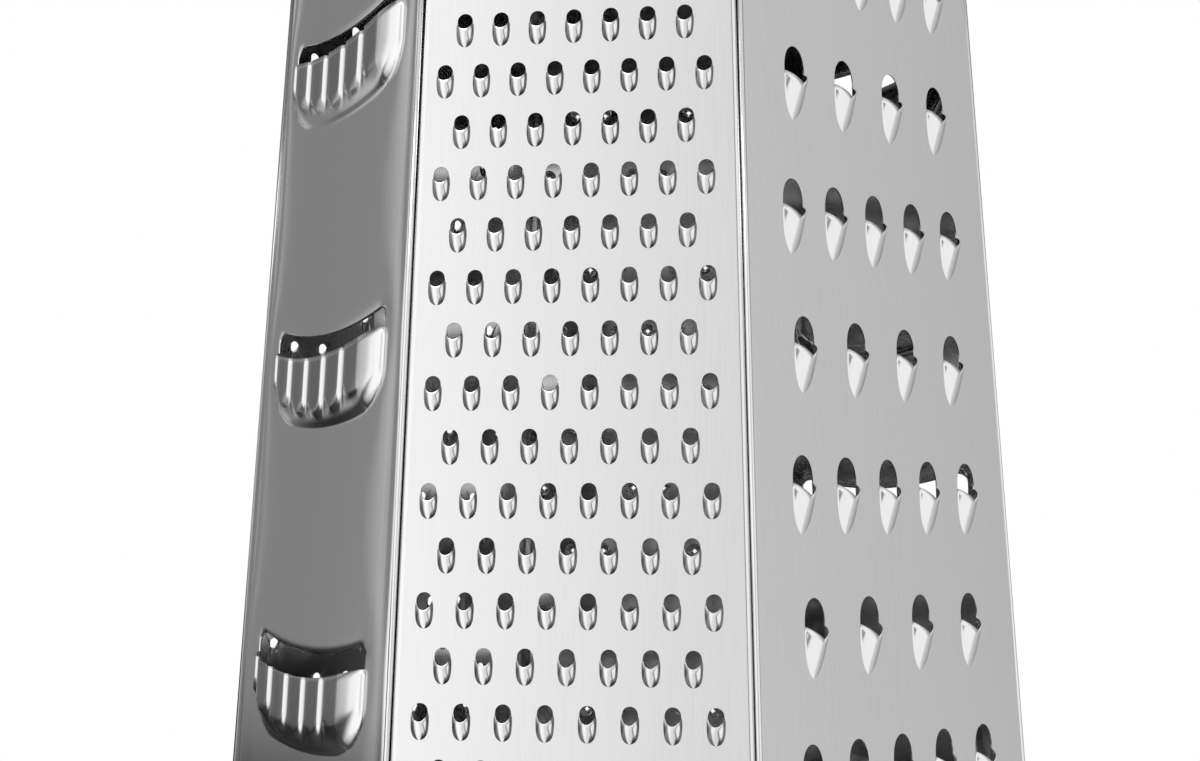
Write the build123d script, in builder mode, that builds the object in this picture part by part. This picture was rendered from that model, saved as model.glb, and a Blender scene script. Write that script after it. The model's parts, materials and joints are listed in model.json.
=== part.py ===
"""Six-sided box grater: six pressed steel panels, a cap with a strap handle, and a moulded base.

Frame: millimetres, +Z up, origin on the floor under the middle of the grater.
The front panel (medium teeth) faces -Y. Panels are numbered anticlockwise from the front,
seen from above: 0 medium, 1 coarse, 2 plain slicer, 3 star rasp, 4 fine, 5 wavy slicer.
Each panel has its own frame: x to the right, y up its slope, z outwards, with the origin
at the middle of its lower edge, on its outer surface.
"""
from build123d import *
import os
from math import atan, atan2, cos, degrees, radians, sin, sqrt

os.makedirs("parts", exist_ok=True)

# Body: the plan at the lower edge of the sheets, and the taper
front_width = 59.4  # front and back panels at the lower edge
side_width = 69.8  # the four slanting panels at the lower edge
side_turn = 50.0  # degrees from the front panel to the panel beside it
top_front_width = 49.6  # front panel at its upper edge
sheet_bottom = 3.0  # height of the sheets' lower edge above the floor
sheet_height = 219.0  # from the sheets' lower edge to their upper edge
sheet = 0.5  # thickness of the steel

# Seams between the panels
hem_radius = 0.45  # rolled edge of panels 1, 3 and 5
hem_proud = 0.1  # how far that edge stands above the neighbour's surface
hem_gap = 0.1  # clearance between the rolled edge and the tucked flange
fold_size = 0.45  # bend of the tucked flange, drawn as a bevel
flange_length = 4.0  # the edge of panels 0, 2 and 4 that tucks behind the neighbour

# Medium round teeth, front panel
medium_hole_radius = 1.22
medium_hood_radius = 1.46
medium_hood_length = 4.2
medium_row_pitch = 8.3
medium_column_pitch = 6.23
medium_top_row = 203.6  # top of the highest holes, up the slope from the lower edge
medium_rows = 22
medium_columns = 7  # every second row holds one more
medium_shift = -0.9  # the whole pattern lies a little to the left

# Coarse leaf-shaped teeth, front right panel
coarse_hole_radius = 2.3
coarse_hole_rise = 4.3
coarse_hood_radius = 2.55
coarse_hood_length = 7.6
coarse_row_pitch = 21.85
coarse_column_pitch = 10.45
coarse_wide_pitch = 12.9  # rows of four are set wider apart than rows of five
coarse_top_row = 203.7
coarse_rows = 9
coarse_columns = 4

# Fine round teeth, back left panel
fine_hole_radius = 0.85
fine_hood_radius = 1.05
fine_hood_length = 3.0
fine_row_pitch = 7.0
fine_column_pitch = 6.4
fine_top_row = 203.6
fine_rows = 26
fine_columns = 8

# Star rasp points, back panel
star_base_radius = 1.5
star_tip_radius = 0.62
star_hole_radius = 0.42
star_height = 1.3
star_row_pitch = 6.6
star_column_pitch = 6.4
star_top_row = 203.0
star_rows = 27
star_columns = 7

# Shape of a tooth's hood
hood_wall = 0.36
mouth_lean = 46.0  # degrees that the cutting edge leans away from the hole
mouth_gap = 0.15  # step between the hole's widest line and the hood's mouth
row_margin_share = 0.2  # of the row pitch, above a row's holes
field_margin = 2.2  # plain sheet beside the field of teeth
flat_limit = 0.999  # cosine above which a face counts as parallel to its panel
round_taper = 0.05  # loss of hood radius per unit of length, round teeth
leaf_taper = 0.164
round_belly_share = 0.846  # width of the hole's tail, part of the way to its tip
leaf_belly_share = 0.643
belly_place_share = 0.5625
tail_length_share = 0.81  # the hole's tail under the hood, as a share of the hood
leaf_tail_share = 0.885

# Slicing blades, wavy on the front left panel and plain on the back right panel
blade_width = 47.0
blade_rise = 1.7  # height of the blade's edge above the sheet
blade_fall = 11.5  # from the blade's edge down to where it meets the sheet
blade_wall = 0.45
blade_corner = 6.0
blade_sag = 3.0  # the edge hangs lower in the middle
blade_cheek = 1.6  # rounding of the blade's two ends
slot_height = 4.0
slot_corner = 1.2
slot_tail_share = 0.75  # how far the slot runs on under the blade
wavy_pitch = 54.1
wavy_first = 26.0
wavy_blades = 4
ridge_radius = 5.6
ridge_pitch = 7.7
ridge_count = 5
ridge_shift = -0.35
ridge_rise = 0.8
ridge_run = 9.0  # length over which a ridge sinks into the blade
plain_pitch = 40.5
plain_first = 28.0
plain_blades = 5

# Moulded base that holds the lower edges
base_bottom = 0.8  # height of its underside above the floor
base_top = 12.0
base_outside = 2.3  # how far it stands out from the sheets
base_inside = 3.6  # how far it reaches in from the sheets' outer surface
base_corner = 3.0
base_lip = 0.9
base_inner_corner = 0.9
groove_outside = 0.4
groove_inside = 1.6
groove_corner = 0.4
pad_length = 22.0
pad_width = 3.4
pad_depth = 1.0  # how far a pad sits up into the base

# Pressed cap
cap_sheet = 0.8
cap_clearance = 0.15
cap_skirt = 8.0  # how far the skirt comes down over the sheets
cap_rise = 6.0  # from the skirt's top to the flat of the cap
cap_inset = 7.5  # from the sheets' surface in to the edge of the flat
cap_corner = 1.8
cap_seat = 0.25
cap_bend = 1.6

# Handle: a bent strap on the cap, with a two-part moulded grip
strap_width = 15.0
strap_thickness = 2.0
strap_reach = 41.0  # from the middle to the outside of each leg
strap_splay = 3.0  # the legs lean in by this much towards the top
strap_foot = 17.0
strap_bend = 5.0
strap_shoulder = 8.0
finger_gap = 25.0  # between the cap and the underside of the grip
grip_length = 58.0
grip_width = 21.0
grip_above = 6.5
grip_below = 6.0
grip_corner = 9.0
grip_round = 4.5
grip_clearance = 0.1
screw_spread = 34.0
screw_radius = 1.5
screw_head_radius = 2.9
screw_head_height = 1.8
screw_cross_width = 0.8
screw_reach = 3.6  # how far the screw goes into the upper grip
rivet_radius = 1.6
rivet_head_radius = 3.0
rivet_head_height = 1.3
head_round_share = 0.8  # rounding of a rivet's head
rivet_inset = 6.5  # from the free end of the strap's foot
rivet_spread = 7.4
backing_thickness = 1.0
backing_margin = 1.0

overrun = 5.0  # how far a cutting shape runs past what it cuts

# Worked out from the sizes above
half_front = front_width / 2
half_depth = side_width * sin(radians(side_turn))
half_span = half_front + side_width * cos(radians(side_turn))
top_share = top_front_width / front_width
sheet_top = sheet_bottom + sheet_height
plan = [
    (-half_front, -half_depth),
    (half_front, -half_depth),
    (half_span, 0),
    (half_front, half_depth),
    (-half_front, half_depth),
    (-half_span, 0),
]
flange_inset = sheet / 2 + hem_radius + hem_gap


def taper(z):
    """Share of the bottom plan that is left at height z."""
    return 1 - (1 - top_share) * (z - sheet_bottom) / sheet_height


def corner(k, z):
    """Outer corner between panel k - 1 and panel k at height z."""
    x, y = plan[k % 6]
    return x * taper(z), y * taper(z)


def along(k):
    """Unit direction of panel k in plan, to the right seen from outside."""
    (x0, y0), (x1, y1) = plan[k % 6], plan[(k + 1) % 6]
    run = sqrt((x1 - x0) ** 2 + (y1 - y0) ** 2)
    return (x1 - x0) / run, (y1 - y0) / run


def lean(k):
    """Angle in radians by which panel k leans inwards."""
    dx, dy = along(k)
    x, y = plan[k % 6]
    return atan((x * dy - y * dx) * (1 - top_share) / sheet_height)


def meet(k, inset_k, j, inset_j, z):
    """Point at height z where panels k and j, each moved inwards by its inset, cross."""
    (kx, ky), (jx, jy) = along(k), along(j)
    (px, py), (qx, qy) = corner(k, z), corner(j, z)
    a = px * ky - py * kx - inset_k / cos(lean(k))
    b = qx * jy - qy * jx - inset_j / cos(lean(j))
    det = -ky * jx + kx * jy
    return (-a * jx + b * kx) / det, (b * ky - a * jy) / det


def hexagon(z, inset):
    """The six corners of the body at height z, all moved inwards by the inset."""
    return [meet(k, inset, k - 1, inset, z) for k in range(6)]


def width_at(k, y):
    """Width of panel k at the distance y up its slope."""
    width = front_width if k in (0, 3) else side_width
    return width * taper(sheet_bottom + y * cos(lean(k)))


def middle_at(k, y):
    """How far the middle of panel k has moved sideways at the distance y up its slope."""
    (x0, y0), (x1, y1) = plan[k % 6], plan[(k + 1) % 6]
    dx, dy = along(k)
    return (taper(sheet_bottom + y * cos(lean(k))) - 1) * ((x0 + x1) * dx + (y0 + y1) * dy) / 2


def panel_plane(k):
    """Frame of panel k."""
    (x0, y0), (x1, y1) = corner(k, sheet_bottom), corner(k + 1, sheet_bottom)
    dx, dy = along(k)
    tilt = lean(k)
    middle = ((x0 + x1) / 2, (y0 + y1) / 2, sheet_bottom)
    return Plane(origin=middle, x_dir=(dx, dy, 0), z_dir=(dy * cos(tilt), -dx * cos(tilt), sin(tilt)))


def hexagon_loft(z_low, inset_low, z_high, inset_high, rounding, mode=Mode.ADD):
    """Straight-sided hexagonal block between two heights."""
    levels = []
    for z, inset in ((z_low, inset_low), (z_high, inset_high)):
        with BuildSketch(Plane.XY.offset(z)) as level:
            with BuildLine():
                Polyline(*hexagon(z, inset), close=True)
            make_face()
            fillet(level.vertices(), radius=rounding)
        levels.append(level.sketch)
    loft(levels, ruled=True, mode=mode)


def flange_end(k, j, side, z):
    """Plan of the tucked edge of panel k at its neighbour j, from the flat to the inside."""
    dx, dy = along(j)
    reach = flange_length * side
    outer = meet(k, 0, j, flange_inset, z)
    inner = meet(k, 0, j, flange_inset + sheet, z)
    return [
        meet(k, 0, j, flange_inset + fold_size, z),
        meet(k, fold_size, j, flange_inset, z),
        (outer[0] + reach * dx, outer[1] + reach * dy),
        (inner[0] + reach * dx, inner[1] + reach * dy),
        meet(k, sheet, j, flange_inset + sheet, z),
    ]


def flanged_outline(k, z):
    """Plan of a panel whose two edges tuck behind its neighbours."""
    left = flange_end(k, k - 1, -1, z)
    right = flange_end(k, k + 1, 1, z)
    return left[::-1] + right


def hemmed_outline(k, z):
    """Plan of a panel whose two edges end in the middle of a rolled hem."""
    inset = hem_radius - hem_proud
    return [
        meet(k, sheet, k - 1, inset, z),
        meet(k, 0, k - 1, inset, z),
        meet(k, 0, k + 1, inset, z),
        meet(k, sheet, k + 1, inset, z),
    ]


def add_sheet(k):
    """The bare steel of panel k, with its two edges, in the part being built."""
    outline = flanged_outline if k % 2 == 0 else hemmed_outline
    levels = []
    for z in (sheet_bottom, sheet_top):
        with BuildSketch(Plane.XY.offset(z)) as level:
            with BuildLine():
                Polyline(*outline(k, z), close=True)
            make_face()
        levels.append(level.sketch)
    loft(levels, ruled=True)
    if k % 2 == 1:
        for j in (k - 1, k + 1):
            low = Vector(*meet(k, sheet / 2, j, hem_radius - hem_proud, sheet_bottom), sheet_bottom)
            high = Vector(*meet(k, sheet / 2, j, hem_radius - hem_proud, sheet_top), sheet_top)
            with BuildSketch(Plane.XY.offset(sheet_bottom)) as rod:
                with Locations((low.X, low.Y)):
                    Circle(hem_radius)
            extrude(rod.sketch, amount=(high - low).length, dir=(high - low).normalized())


def tooth_rows(k, top, pitch, rows, counts, spacings, drop, shift=0):
    """Rows of places for a tooth pattern that spreads as the panel widens.

    Even and odd rows take their number of teeth and their spacing by turns. Each row is
    (y of the row's upper edge, its places). The drop is from the top of a hole to its place.
    """
    middle = width_at(k, sheet_height / 2)
    field = []
    for row in range(rows):
        y = top - row * pitch
        count = counts[row % 2]
        step = spacings[row % 2] * width_at(k, y) / middle
        start = middle_at(k, y) + shift - (count - 1) / 2 * step
        places = [(start + n * step, y - drop) for n in range(count)]
        field.append((y + pitch * row_margin_share, places))
    return field


def make_hood(radius, length, shrink):
    """A raised hood in its tooth's frame, with its cutting edge towards +y."""
    sink = atan(radius / length - shrink)
    with BuildPart() as hood:
        start = Plane(
            origin=(0, radius * cos(sink), radius * sin(sink)),
            x_dir=(1, 0, 0),
            z_dir=(0, -cos(sink), -sin(sink)),
        )
        run = radius + length
        with Locations(start):
            for r, mode in ((radius, Mode.ADD), (radius - hood_wall, Mode.SUBTRACT)):
                Cone(
                    bottom_radius=r + shrink * radius,
                    top_radius=r + shrink * radius - shrink * run,
                    height=run,
                    align=(Align.CENTER, Align.CENTER, Align.MIN),
                    mode=mode,
                )
        tilt = radians(mouth_lean)
        mouth = Plane(origin=(0, -mouth_gap, 0), x_dir=(1, 0, 0), z_dir=(0, cos(tilt), sin(tilt)))
        split(bisect_by=mouth, keep=Keep.BOTTOM)
        split(bisect_by=Plane.XY, keep=Keep.TOP)
    return hood


def make_hole(radius, rise, tail, belly_share):
    """Outline of a tooth's hole: an arch above, and a tail under the hood."""
    belly = (radius * belly_share, -tail * belly_place_share)
    with BuildSketch() as hole:
        with BuildLine():
            EllipticalCenterArc((0, 0), radius, rise, start_angle=0, arc_size=180)
            ThreePointArc((-radius, 0), (-belly[0], belly[1]), (0, -tail))
            ThreePointArc((0, -tail), belly, (radius, 0))
        make_face()
    return hole


def make_tile(width, low, high, hole, raised):
    """A piece of sheet that carries one hole and one raised form."""
    with BuildPart() as tile:
        with BuildSketch():
            with Locations((0, (low + high) / 2)):
                Rectangle(width, high - low)
            add(hole.sketch, mode=Mode.SUBTRACT)
        extrude(amount=-sheet)
        add(raised.part)
    return tile


def bare_sheet(k):
    """Panel k with its two edges, before anything is pressed into it."""
    with BuildPart() as bare:
        add_sheet(k)
    return bare.part


def pressed_panel(k, tile, field):
    """Panel k with one tile's hole and raised form repeated over a field of rows.

    The field is a window in the sheet that is filled row by row, and the faces are sewn
    into one solid, as the panel is one pressing.
    """
    plane = panel_plane(k)
    faces = tile.part.faces()
    below, above = faces.filter_by(Axis.Z).sort_by(SortBy.AREA)[-2:].sort_by(Axis.Z)
    across, up = faces.sort_by(Axis.X), faces.sort_by(Axis.Y)
    border = [below, above, across[0], across[-1], up[0], up[-1]]
    formed = [face for face in faces if not any(face.is_same(other) for other in border)]
    levels = [y for y, places in field]
    levels.append(2 * levels[-1] - levels[-2])
    left = [(middle_at(k, y) - width_at(k, y) / 2 + field_margin, y) for y in levels]
    right = [(middle_at(k, y) + width_at(k, y) / 2 - field_margin, y) for y in levels]
    sheet_faces = bare_sheets[k].faces()
    flats, skin = [], []
    for z, flat, side in ((0, above, 1), (-sheet, below, -1)):
        window = Wire.make_polygon([(x, y, z) for x, y in right + left[::-1]])
        facing = [f for f in sheet_faces if f.normal_at().dot(plane.z_dir) * side > flat_limit]
        flats.append(max(facing, key=lambda face: face.area))
        skin.append(flats[-1].make_holes([window.moved(plane.location)]))
        for row, (y, places) in enumerate(field):
            rim = [right[row], right[row + 1], left[row + 1], left[row]]
            strip = Face(Wire.make_polygon([(px, py, z) for px, py in rim]))
            cuts = [w.moved(Location((px, py, 0))) for px, py in places for w in flat.inner_wires()]
            skin.append(strip.make_holes(cuts).moved(plane.location))
    edges = [face for face in sheet_faces if not any(face.is_same(flat) for flat in flats)]
    teeth = [
        face.moved(plane.location * Location((px, py, 0)))
        for y, places in field
        for px, py in places
        for face in formed
    ]
    return Solid(Shell(skin + edges + teeth))


bare_sheets = {k: bare_sheet(k) for k in (0, 1, 3, 4)}  # the four toothed panels

# Panel 0, front: medium round teeth
medium_hood = make_hood(medium_hood_radius, medium_hood_length, round_taper)
medium_hole = make_hole(
    medium_hole_radius, medium_hole_radius, medium_hood_length * tail_length_share, round_belly_share
)
medium_tile = make_tile(
    medium_column_pitch, -medium_row_pitch, medium_row_pitch, medium_hole, medium_hood
)
medium_field = tooth_rows(
    0, medium_top_row, medium_row_pitch, medium_rows, (medium_columns, medium_columns + 1),
    (medium_column_pitch, medium_column_pitch), medium_hole_radius, medium_shift,
)
medium_pressing = pressed_panel(0, medium_tile, medium_field)
with BuildPart() as medium_shred_panel:
    add(medium_pressing)
medium_shred_panel.part.label = "medium_shred_panel"
export_step(medium_shred_panel.part, "parts/medium_shred_panel.step")

# Panel 1, front right: coarse leaf-shaped teeth
coarse_hood = make_hood(coarse_hood_radius, coarse_hood_length, leaf_taper)
coarse_hole = make_hole(
    coarse_hole_radius, coarse_hole_rise, coarse_hood_length * leaf_tail_share, leaf_belly_share
)
coarse_tile = make_tile(
    coarse_column_pitch, -coarse_row_pitch, coarse_row_pitch, coarse_hole, coarse_hood
)
coarse_field = tooth_rows(
    1, coarse_top_row, coarse_row_pitch, coarse_rows, (coarse_columns + 1, coarse_columns),
    (coarse_column_pitch, coarse_wide_pitch), coarse_hole_rise,
)
coarse_pressing = pressed_panel(1, coarse_tile, coarse_field)
with BuildPart() as coarse_shred_panel:
    add(coarse_pressing)
coarse_shred_panel.part.label = "coarse_shred_panel"
export_step(coarse_shred_panel.part, "parts/coarse_shred_panel.step")

# Panel 4, back left: fine round teeth
fine_hood = make_hood(fine_hood_radius, fine_hood_length, round_taper)
fine_hole = make_hole(
    fine_hole_radius, fine_hole_radius, fine_hood_length * tail_length_share, round_belly_share
)
fine_tile = make_tile(fine_column_pitch, -fine_row_pitch, fine_row_pitch, fine_hole, fine_hood)
fine_field = tooth_rows(
    4, fine_top_row, fine_row_pitch, fine_rows, (fine_columns, fine_columns + 1),
    (fine_column_pitch, fine_column_pitch), fine_hole_radius,
)
fine_pressing = pressed_panel(4, fine_tile, fine_field)
with BuildPart() as fine_shred_panel:
    add(fine_pressing)
fine_shred_panel.part.label = "fine_shred_panel"
export_step(fine_shred_panel.part, "parts/fine_shred_panel.step")

# Panel 3, back: punched points of the star rasp
with BuildSketch() as star_hole:
    Circle(star_hole_radius)
with BuildPart() as star_point:
    Cone(star_base_radius, star_tip_radius, star_height, align=(Align.CENTER, Align.CENTER, Align.MIN))
    with BuildSketch():
        Circle(star_hole_radius)
    extrude(amount=star_height, mode=Mode.SUBTRACT)
star_tile = make_tile(star_column_pitch, -star_row_pitch / 2, star_row_pitch / 2, star_hole, star_point)
star_field = tooth_rows(
    3, star_top_row, star_row_pitch, star_rows, (star_columns, star_columns + 1),
    (star_column_pitch, star_column_pitch), star_row_pitch / 2,
)
star_pressing = pressed_panel(3, star_tile, star_field)
with BuildPart() as star_rasp_panel:
    add(star_pressing)
star_rasp_panel.part.label = "star_rasp_panel"
export_step(star_rasp_panel.part, "parts/star_rasp_panel.step")


def sloping_bar(wall, height, slope, profiles):
    """One or more bars that sink into the sheet, and end in the flat of the blade's upper side.

    The profiles are drawn across the blade by a function of the wall, at the given height.
    """
    fall = atan(slope)
    start = blade_sag + overrun
    back = Plane(
        origin=(0, start, start * slope), x_dir=(1, 0, 0), z_dir=(0, -cos(fall), -sin(fall))
    )
    with BuildSketch(back) as across:
        with Locations((0, height)):
            profiles(wall)
    return extrude(across.sketch, amount=start + blade_fall + overrun)


def plain_profile(wall):
    """Cross-section of a blade's body."""
    RectangleRounded(blade_width - 2 * wall, blade_rise - wall + overrun, blade_cheek - wall)


def ridge_profiles(wall):
    """Cross-sections of the ridges."""
    with Locations((ridge_shift, 0)):
        with GridLocations(ridge_pitch, 0, ridge_count, 1):
            Circle(ridge_radius - wall)


def blade_block(wall, ridges):
    """A blade without its mouth, smaller all round by the wall."""
    half = blade_width / 2 - wall
    floor = wall - blade_fall
    top = blade_sag + overrun
    body_slope = blade_rise / blade_fall
    bars = [sloping_bar(wall, (blade_rise - wall - overrun) / 2, body_slope, plain_profile)]
    if ridges:
        ridge_slope = body_slope + ridge_rise / ridge_run
        ridge_height = blade_rise + ridge_rise - ridge_radius
        bars.append(sloping_bar(wall, ridge_height, ridge_slope, ridge_profiles))
    with BuildPart() as core:
        for bar in bars:
            add(bar)
    with BuildPart() as block:
        with BuildSketch(Plane.XY.offset(-overrun)):
            with BuildLine():
                FilletPolyline(
                    (-half, top), (-half, floor), (half, floor), (half, top),
                    radius=blade_corner - wall,
                )
                Line((half, top), (-half, top))
            make_face()
        extrude(amount=3 * overrun)
        add(core.part, mode=Mode.INTERSECT)
    return block


def make_blade(ridges):
    """A raised slicing blade in its own frame: its edge is an arc through y = 0, bulging down.

    The blade sinks into the sheet below its edge. Ridges, if any, run down it side by side.
    """
    half = blade_width / 2
    edge_radius = (half**2 + blade_sag**2) / (2 * blade_sag)
    outside = blade_block(0, ridges)
    inside = blade_block(blade_wall, ridges)
    with BuildPart() as blade:
        add(outside.part)
        add(inside.part, mode=Mode.SUBTRACT)
        with BuildSketch(Plane.XY.offset(-overrun)) as mouth:
            with Locations((0, edge_radius)):
                Circle(edge_radius)
        extrude(mouth.sketch, amount=3 * overrun, mode=Mode.SUBTRACT)
        split(bisect_by=Plane.XY, keep=Keep.TOP)
    return blade


def make_slot():
    """Outline of a blade's slot in the sheet: it runs on under the blade."""
    half = blade_width / 2 - blade_wall / 2
    floor = blade_wall - blade_fall * slot_tail_share
    top = blade_sag + slot_height
    with BuildSketch() as slot:
        with BuildLine():
            ThreePointArc((-half, top), (0, slot_height), (half, top))
            FilletPolyline(
                (-half, top), (-half, floor), (half, floor), (half, top),
                radius=blade_corner - blade_wall,
            )
        make_face()
        fillet(slot.vertices().group_by(Axis.Y)[-1], radius=slot_corner)
    return slot


def slicer(k, blade, first, pitch, count):
    """Cut the slots of panel k and raise its blades, in the part being built."""
    slot = make_slot()
    places = [(middle_at(k, first + n * pitch), first + n * pitch) for n in range(count)]
    with BuildSketch(panel_plane(k).offset(sheet)) as slots:
        with Locations(*places):
            add(slot.sketch)
    extrude(slots.sketch, amount=-3 * sheet, mode=Mode.SUBTRACT)
    with Locations(panel_plane(k)):
        with Locations(*places):
            add(blade.part)


# Panel 5, front left: wavy slicer
wavy_blade = make_blade(ridges=True)
with BuildPart() as wavy_slicer_panel:
    add_sheet(5)
    slicer(5, wavy_blade, wavy_first, wavy_pitch, wavy_blades)
wavy_slicer_panel.part.label = "wavy_slicer_panel"
export_step(wavy_slicer_panel.part, "parts/wavy_slicer_panel.step")

# Panel 2, back right: plain slicer
plain_blade = make_blade(ridges=False)
with BuildPart() as plain_slicer_panel:
    add_sheet(2)
    slicer(2, plain_blade, plain_first, plain_pitch, plain_blades)
plain_slicer_panel.part.label = "plain_slicer_panel"
export_step(plain_slicer_panel.part, "parts/plain_slicer_panel.step")


def pad_outlines(z):
    """The six pads' outlines drawn at height z, one under the middle of each panel."""
    inset = (base_inside - base_outside) / 2
    with BuildSketch(Plane.XY.offset(z)) as outlines:
        for k in range(6):
            (x0, y0), (x1, y1) = corner(k, base_bottom), corner(k + 1, base_bottom)
            dx, dy = along(k)
            place = ((x0 + x1) / 2 - dy * inset, (y0 + y1) / 2 + dx * inset, 0)
            with Locations(Location(place, (0, 0, degrees(atan2(dy, dx))))):
                SlotOverall(pad_length, pad_width)
    return outlines.sketch


# Moulded base: the sheets stand in its groove
with BuildPart() as groove:
    hexagon_loft(sheet_bottom, -groove_outside, base_top, -groove_outside, groove_corner)
    hexagon_loft(sheet_bottom, groove_inside, base_top, groove_inside, groove_corner, Mode.SUBTRACT)
with BuildPart() as base_ring:
    hexagon_loft(base_bottom, -base_outside, base_top, -base_outside, base_corner)
    top_rim = base_ring.edges().group_by(Axis.Z)[-1]
    fillet(top_rim, radius=base_lip)
    hexagon_loft(base_bottom, base_inside, base_top, base_inside, base_inner_corner, Mode.SUBTRACT)
    add(groove.part, mode=Mode.SUBTRACT)
    extrude(pad_outlines(base_bottom), amount=pad_depth, mode=Mode.SUBTRACT)
base_ring.part.label = "base_ring"
export_step(base_ring.part, "parts/base_ring.step")

# Rubber pads under the base
with BuildPart() as base_pads:
    extrude(pad_outlines(0), amount=base_bottom + pad_depth)
base_pads.part.label = "base_pads"
export_step(base_pads.part, "parts/base_pads.step")

# Pressed cap: a skirt over the sheets, a sloping shoulder and a flat top
cap_outside = hem_radius - sheet / 2 + cap_clearance + cap_sheet
shoulder_bottom = sheet_top + cap_seat
cap_top = shoulder_bottom + cap_rise
skirt_bottom = shoulder_bottom - cap_skirt
cap_inside = cap_outside - cap_sheet
with BuildPart() as cap_hollow:
    hexagon_loft(skirt_bottom, -cap_inside, shoulder_bottom, -cap_inside, cap_corner - cap_sheet)
    hexagon_loft(
        shoulder_bottom, -cap_inside, cap_top - cap_sheet, cap_inset, cap_corner - cap_sheet
    )
with BuildPart() as top_cap:
    hexagon_loft(
        skirt_bottom, -cap_outside, shoulder_bottom + cap_sheet, -cap_outside, cap_corner
    )
    hexagon_loft(
        shoulder_bottom + cap_sheet, -cap_outside, cap_top, cap_inset, cap_corner
    )
    fillet(top_cap.edges().group_by(Axis.Z)[-1], radius=cap_bend)
    add(cap_hollow.part, mode=Mode.SUBTRACT)
    rivet_x = strap_reach - strap_foot + rivet_inset
    rivet_places = [(x, y) for x in (-rivet_x, rivet_x) for y in (-rivet_spread / 2, rivet_spread / 2)]
    with BuildSketch(Plane.XY.offset(cap_top)):
        with Locations(*rivet_places):
            Circle(rivet_radius)
    extrude(amount=-2 * cap_sheet, mode=Mode.SUBTRACT)
top_cap.part.label = "top_cap"
export_step(top_cap.part, "parts/top_cap.step")

# Handle: bent strap, riveted through the cap to a backing plate on each side
strap_middle = cap_top + finger_gap + grip_below
strap_foot_middle = cap_top + strap_thickness / 2
leg_low = strap_reach - strap_thickness / 2
leg_high = leg_low - strap_splay
with BuildPart() as handle_strap:
    with BuildSketch(Plane.XZ):
        with BuildLine():
            FilletPolyline(
                (strap_foot - strap_reach, strap_foot_middle), (-leg_low, strap_foot_middle),
                (-leg_high, strap_middle), (leg_high, strap_middle),
                (leg_low, strap_foot_middle), (strap_reach - strap_foot, strap_foot_middle),
                radius=(strap_bend, strap_shoulder, strap_shoulder, strap_bend),
            )
        trace(line_width=strap_thickness)
    extrude(amount=strap_width / 2, both=True)
    with BuildSketch(Plane.XY.offset(cap_top)):
        with Locations(*rivet_places):
            Circle(rivet_radius)
    extrude(amount=strap_thickness, mode=Mode.SUBTRACT)
    with BuildSketch(Plane.XY.offset(strap_middle + strap_thickness)):
        with GridLocations(screw_spread, 0, 2, 1):
            Circle(screw_radius)
    extrude(amount=-2 * strap_thickness, mode=Mode.SUBTRACT)
handle_strap.part.label = "handle_strap"
export_step(handle_strap.part, "parts/handle_strap.step")

# Plates under the cap, and the rivets that pull on them
with BuildPart() as backing_plates:
    with BuildSketch(Plane.XY.offset(cap_top - cap_sheet)):
        with Locations((-rivet_x, 0), (rivet_x, 0)):
            Rectangle(
                2 * (rivet_head_radius + backing_margin),
                rivet_spread + 2 * (rivet_head_radius + backing_margin),
            )
        with Locations(*rivet_places):
            Circle(rivet_radius, mode=Mode.SUBTRACT)
    extrude(amount=-backing_thickness)
backing_plates.part.label = "backing_plates"
export_step(backing_plates.part, "parts/backing_plates.step")

rivet_top = cap_top + strap_thickness
rivet_bottom = cap_top - cap_sheet - backing_thickness
with BuildPart() as handle_rivets:
    with BuildSketch(Plane.XY.offset(rivet_bottom)):
        with Locations(*rivet_places):
            Circle(rivet_radius)
    extrude(amount=rivet_top - rivet_bottom)
    for level, height in ((rivet_top, rivet_head_height), (rivet_bottom, -rivet_head_height)):
        with BuildSketch(Plane.XY.offset(level)):
            with Locations(*rivet_places):
                Circle(rivet_head_radius)
        extrude(amount=height)
    heads = handle_rivets.edges().filter_by(GeomType.CIRCLE)
    fillet(heads.group_by(Axis.Z)[-1], radius=rivet_head_height * head_round_share)
handle_rivets.part.label = "handle_rivets"
export_step(handle_rivets.part, "parts/handle_rivets.step")

# Grip: an upper and a lower half that close round the strap and are screwed from below
with BuildPart() as strap_pocket:
    with BuildSketch(Plane.XY.offset(strap_middle)):
        Rectangle(grip_length, strap_width + 2 * grip_clearance)
    extrude(amount=strap_thickness / 2, both=True)
with BuildPart() as grip_upper:
    with BuildSketch(Plane.XY.offset(strap_middle)):
        RectangleRounded(grip_length, grip_width, grip_corner)
    extrude(amount=grip_above)
    fillet(grip_upper.edges().group_by(Axis.Z)[-1], radius=grip_round)
    add(strap_pocket.part, mode=Mode.SUBTRACT)
    with BuildSketch(Plane.XY.offset(strap_middle)):
        with GridLocations(screw_spread, 0, 2, 1):
            Circle(screw_radius)
    extrude(amount=strap_thickness / 2 + screw_reach, mode=Mode.SUBTRACT)
grip_upper.part.label = "grip_upper"
export_step(grip_upper.part, "parts/grip_upper.step")

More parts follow.
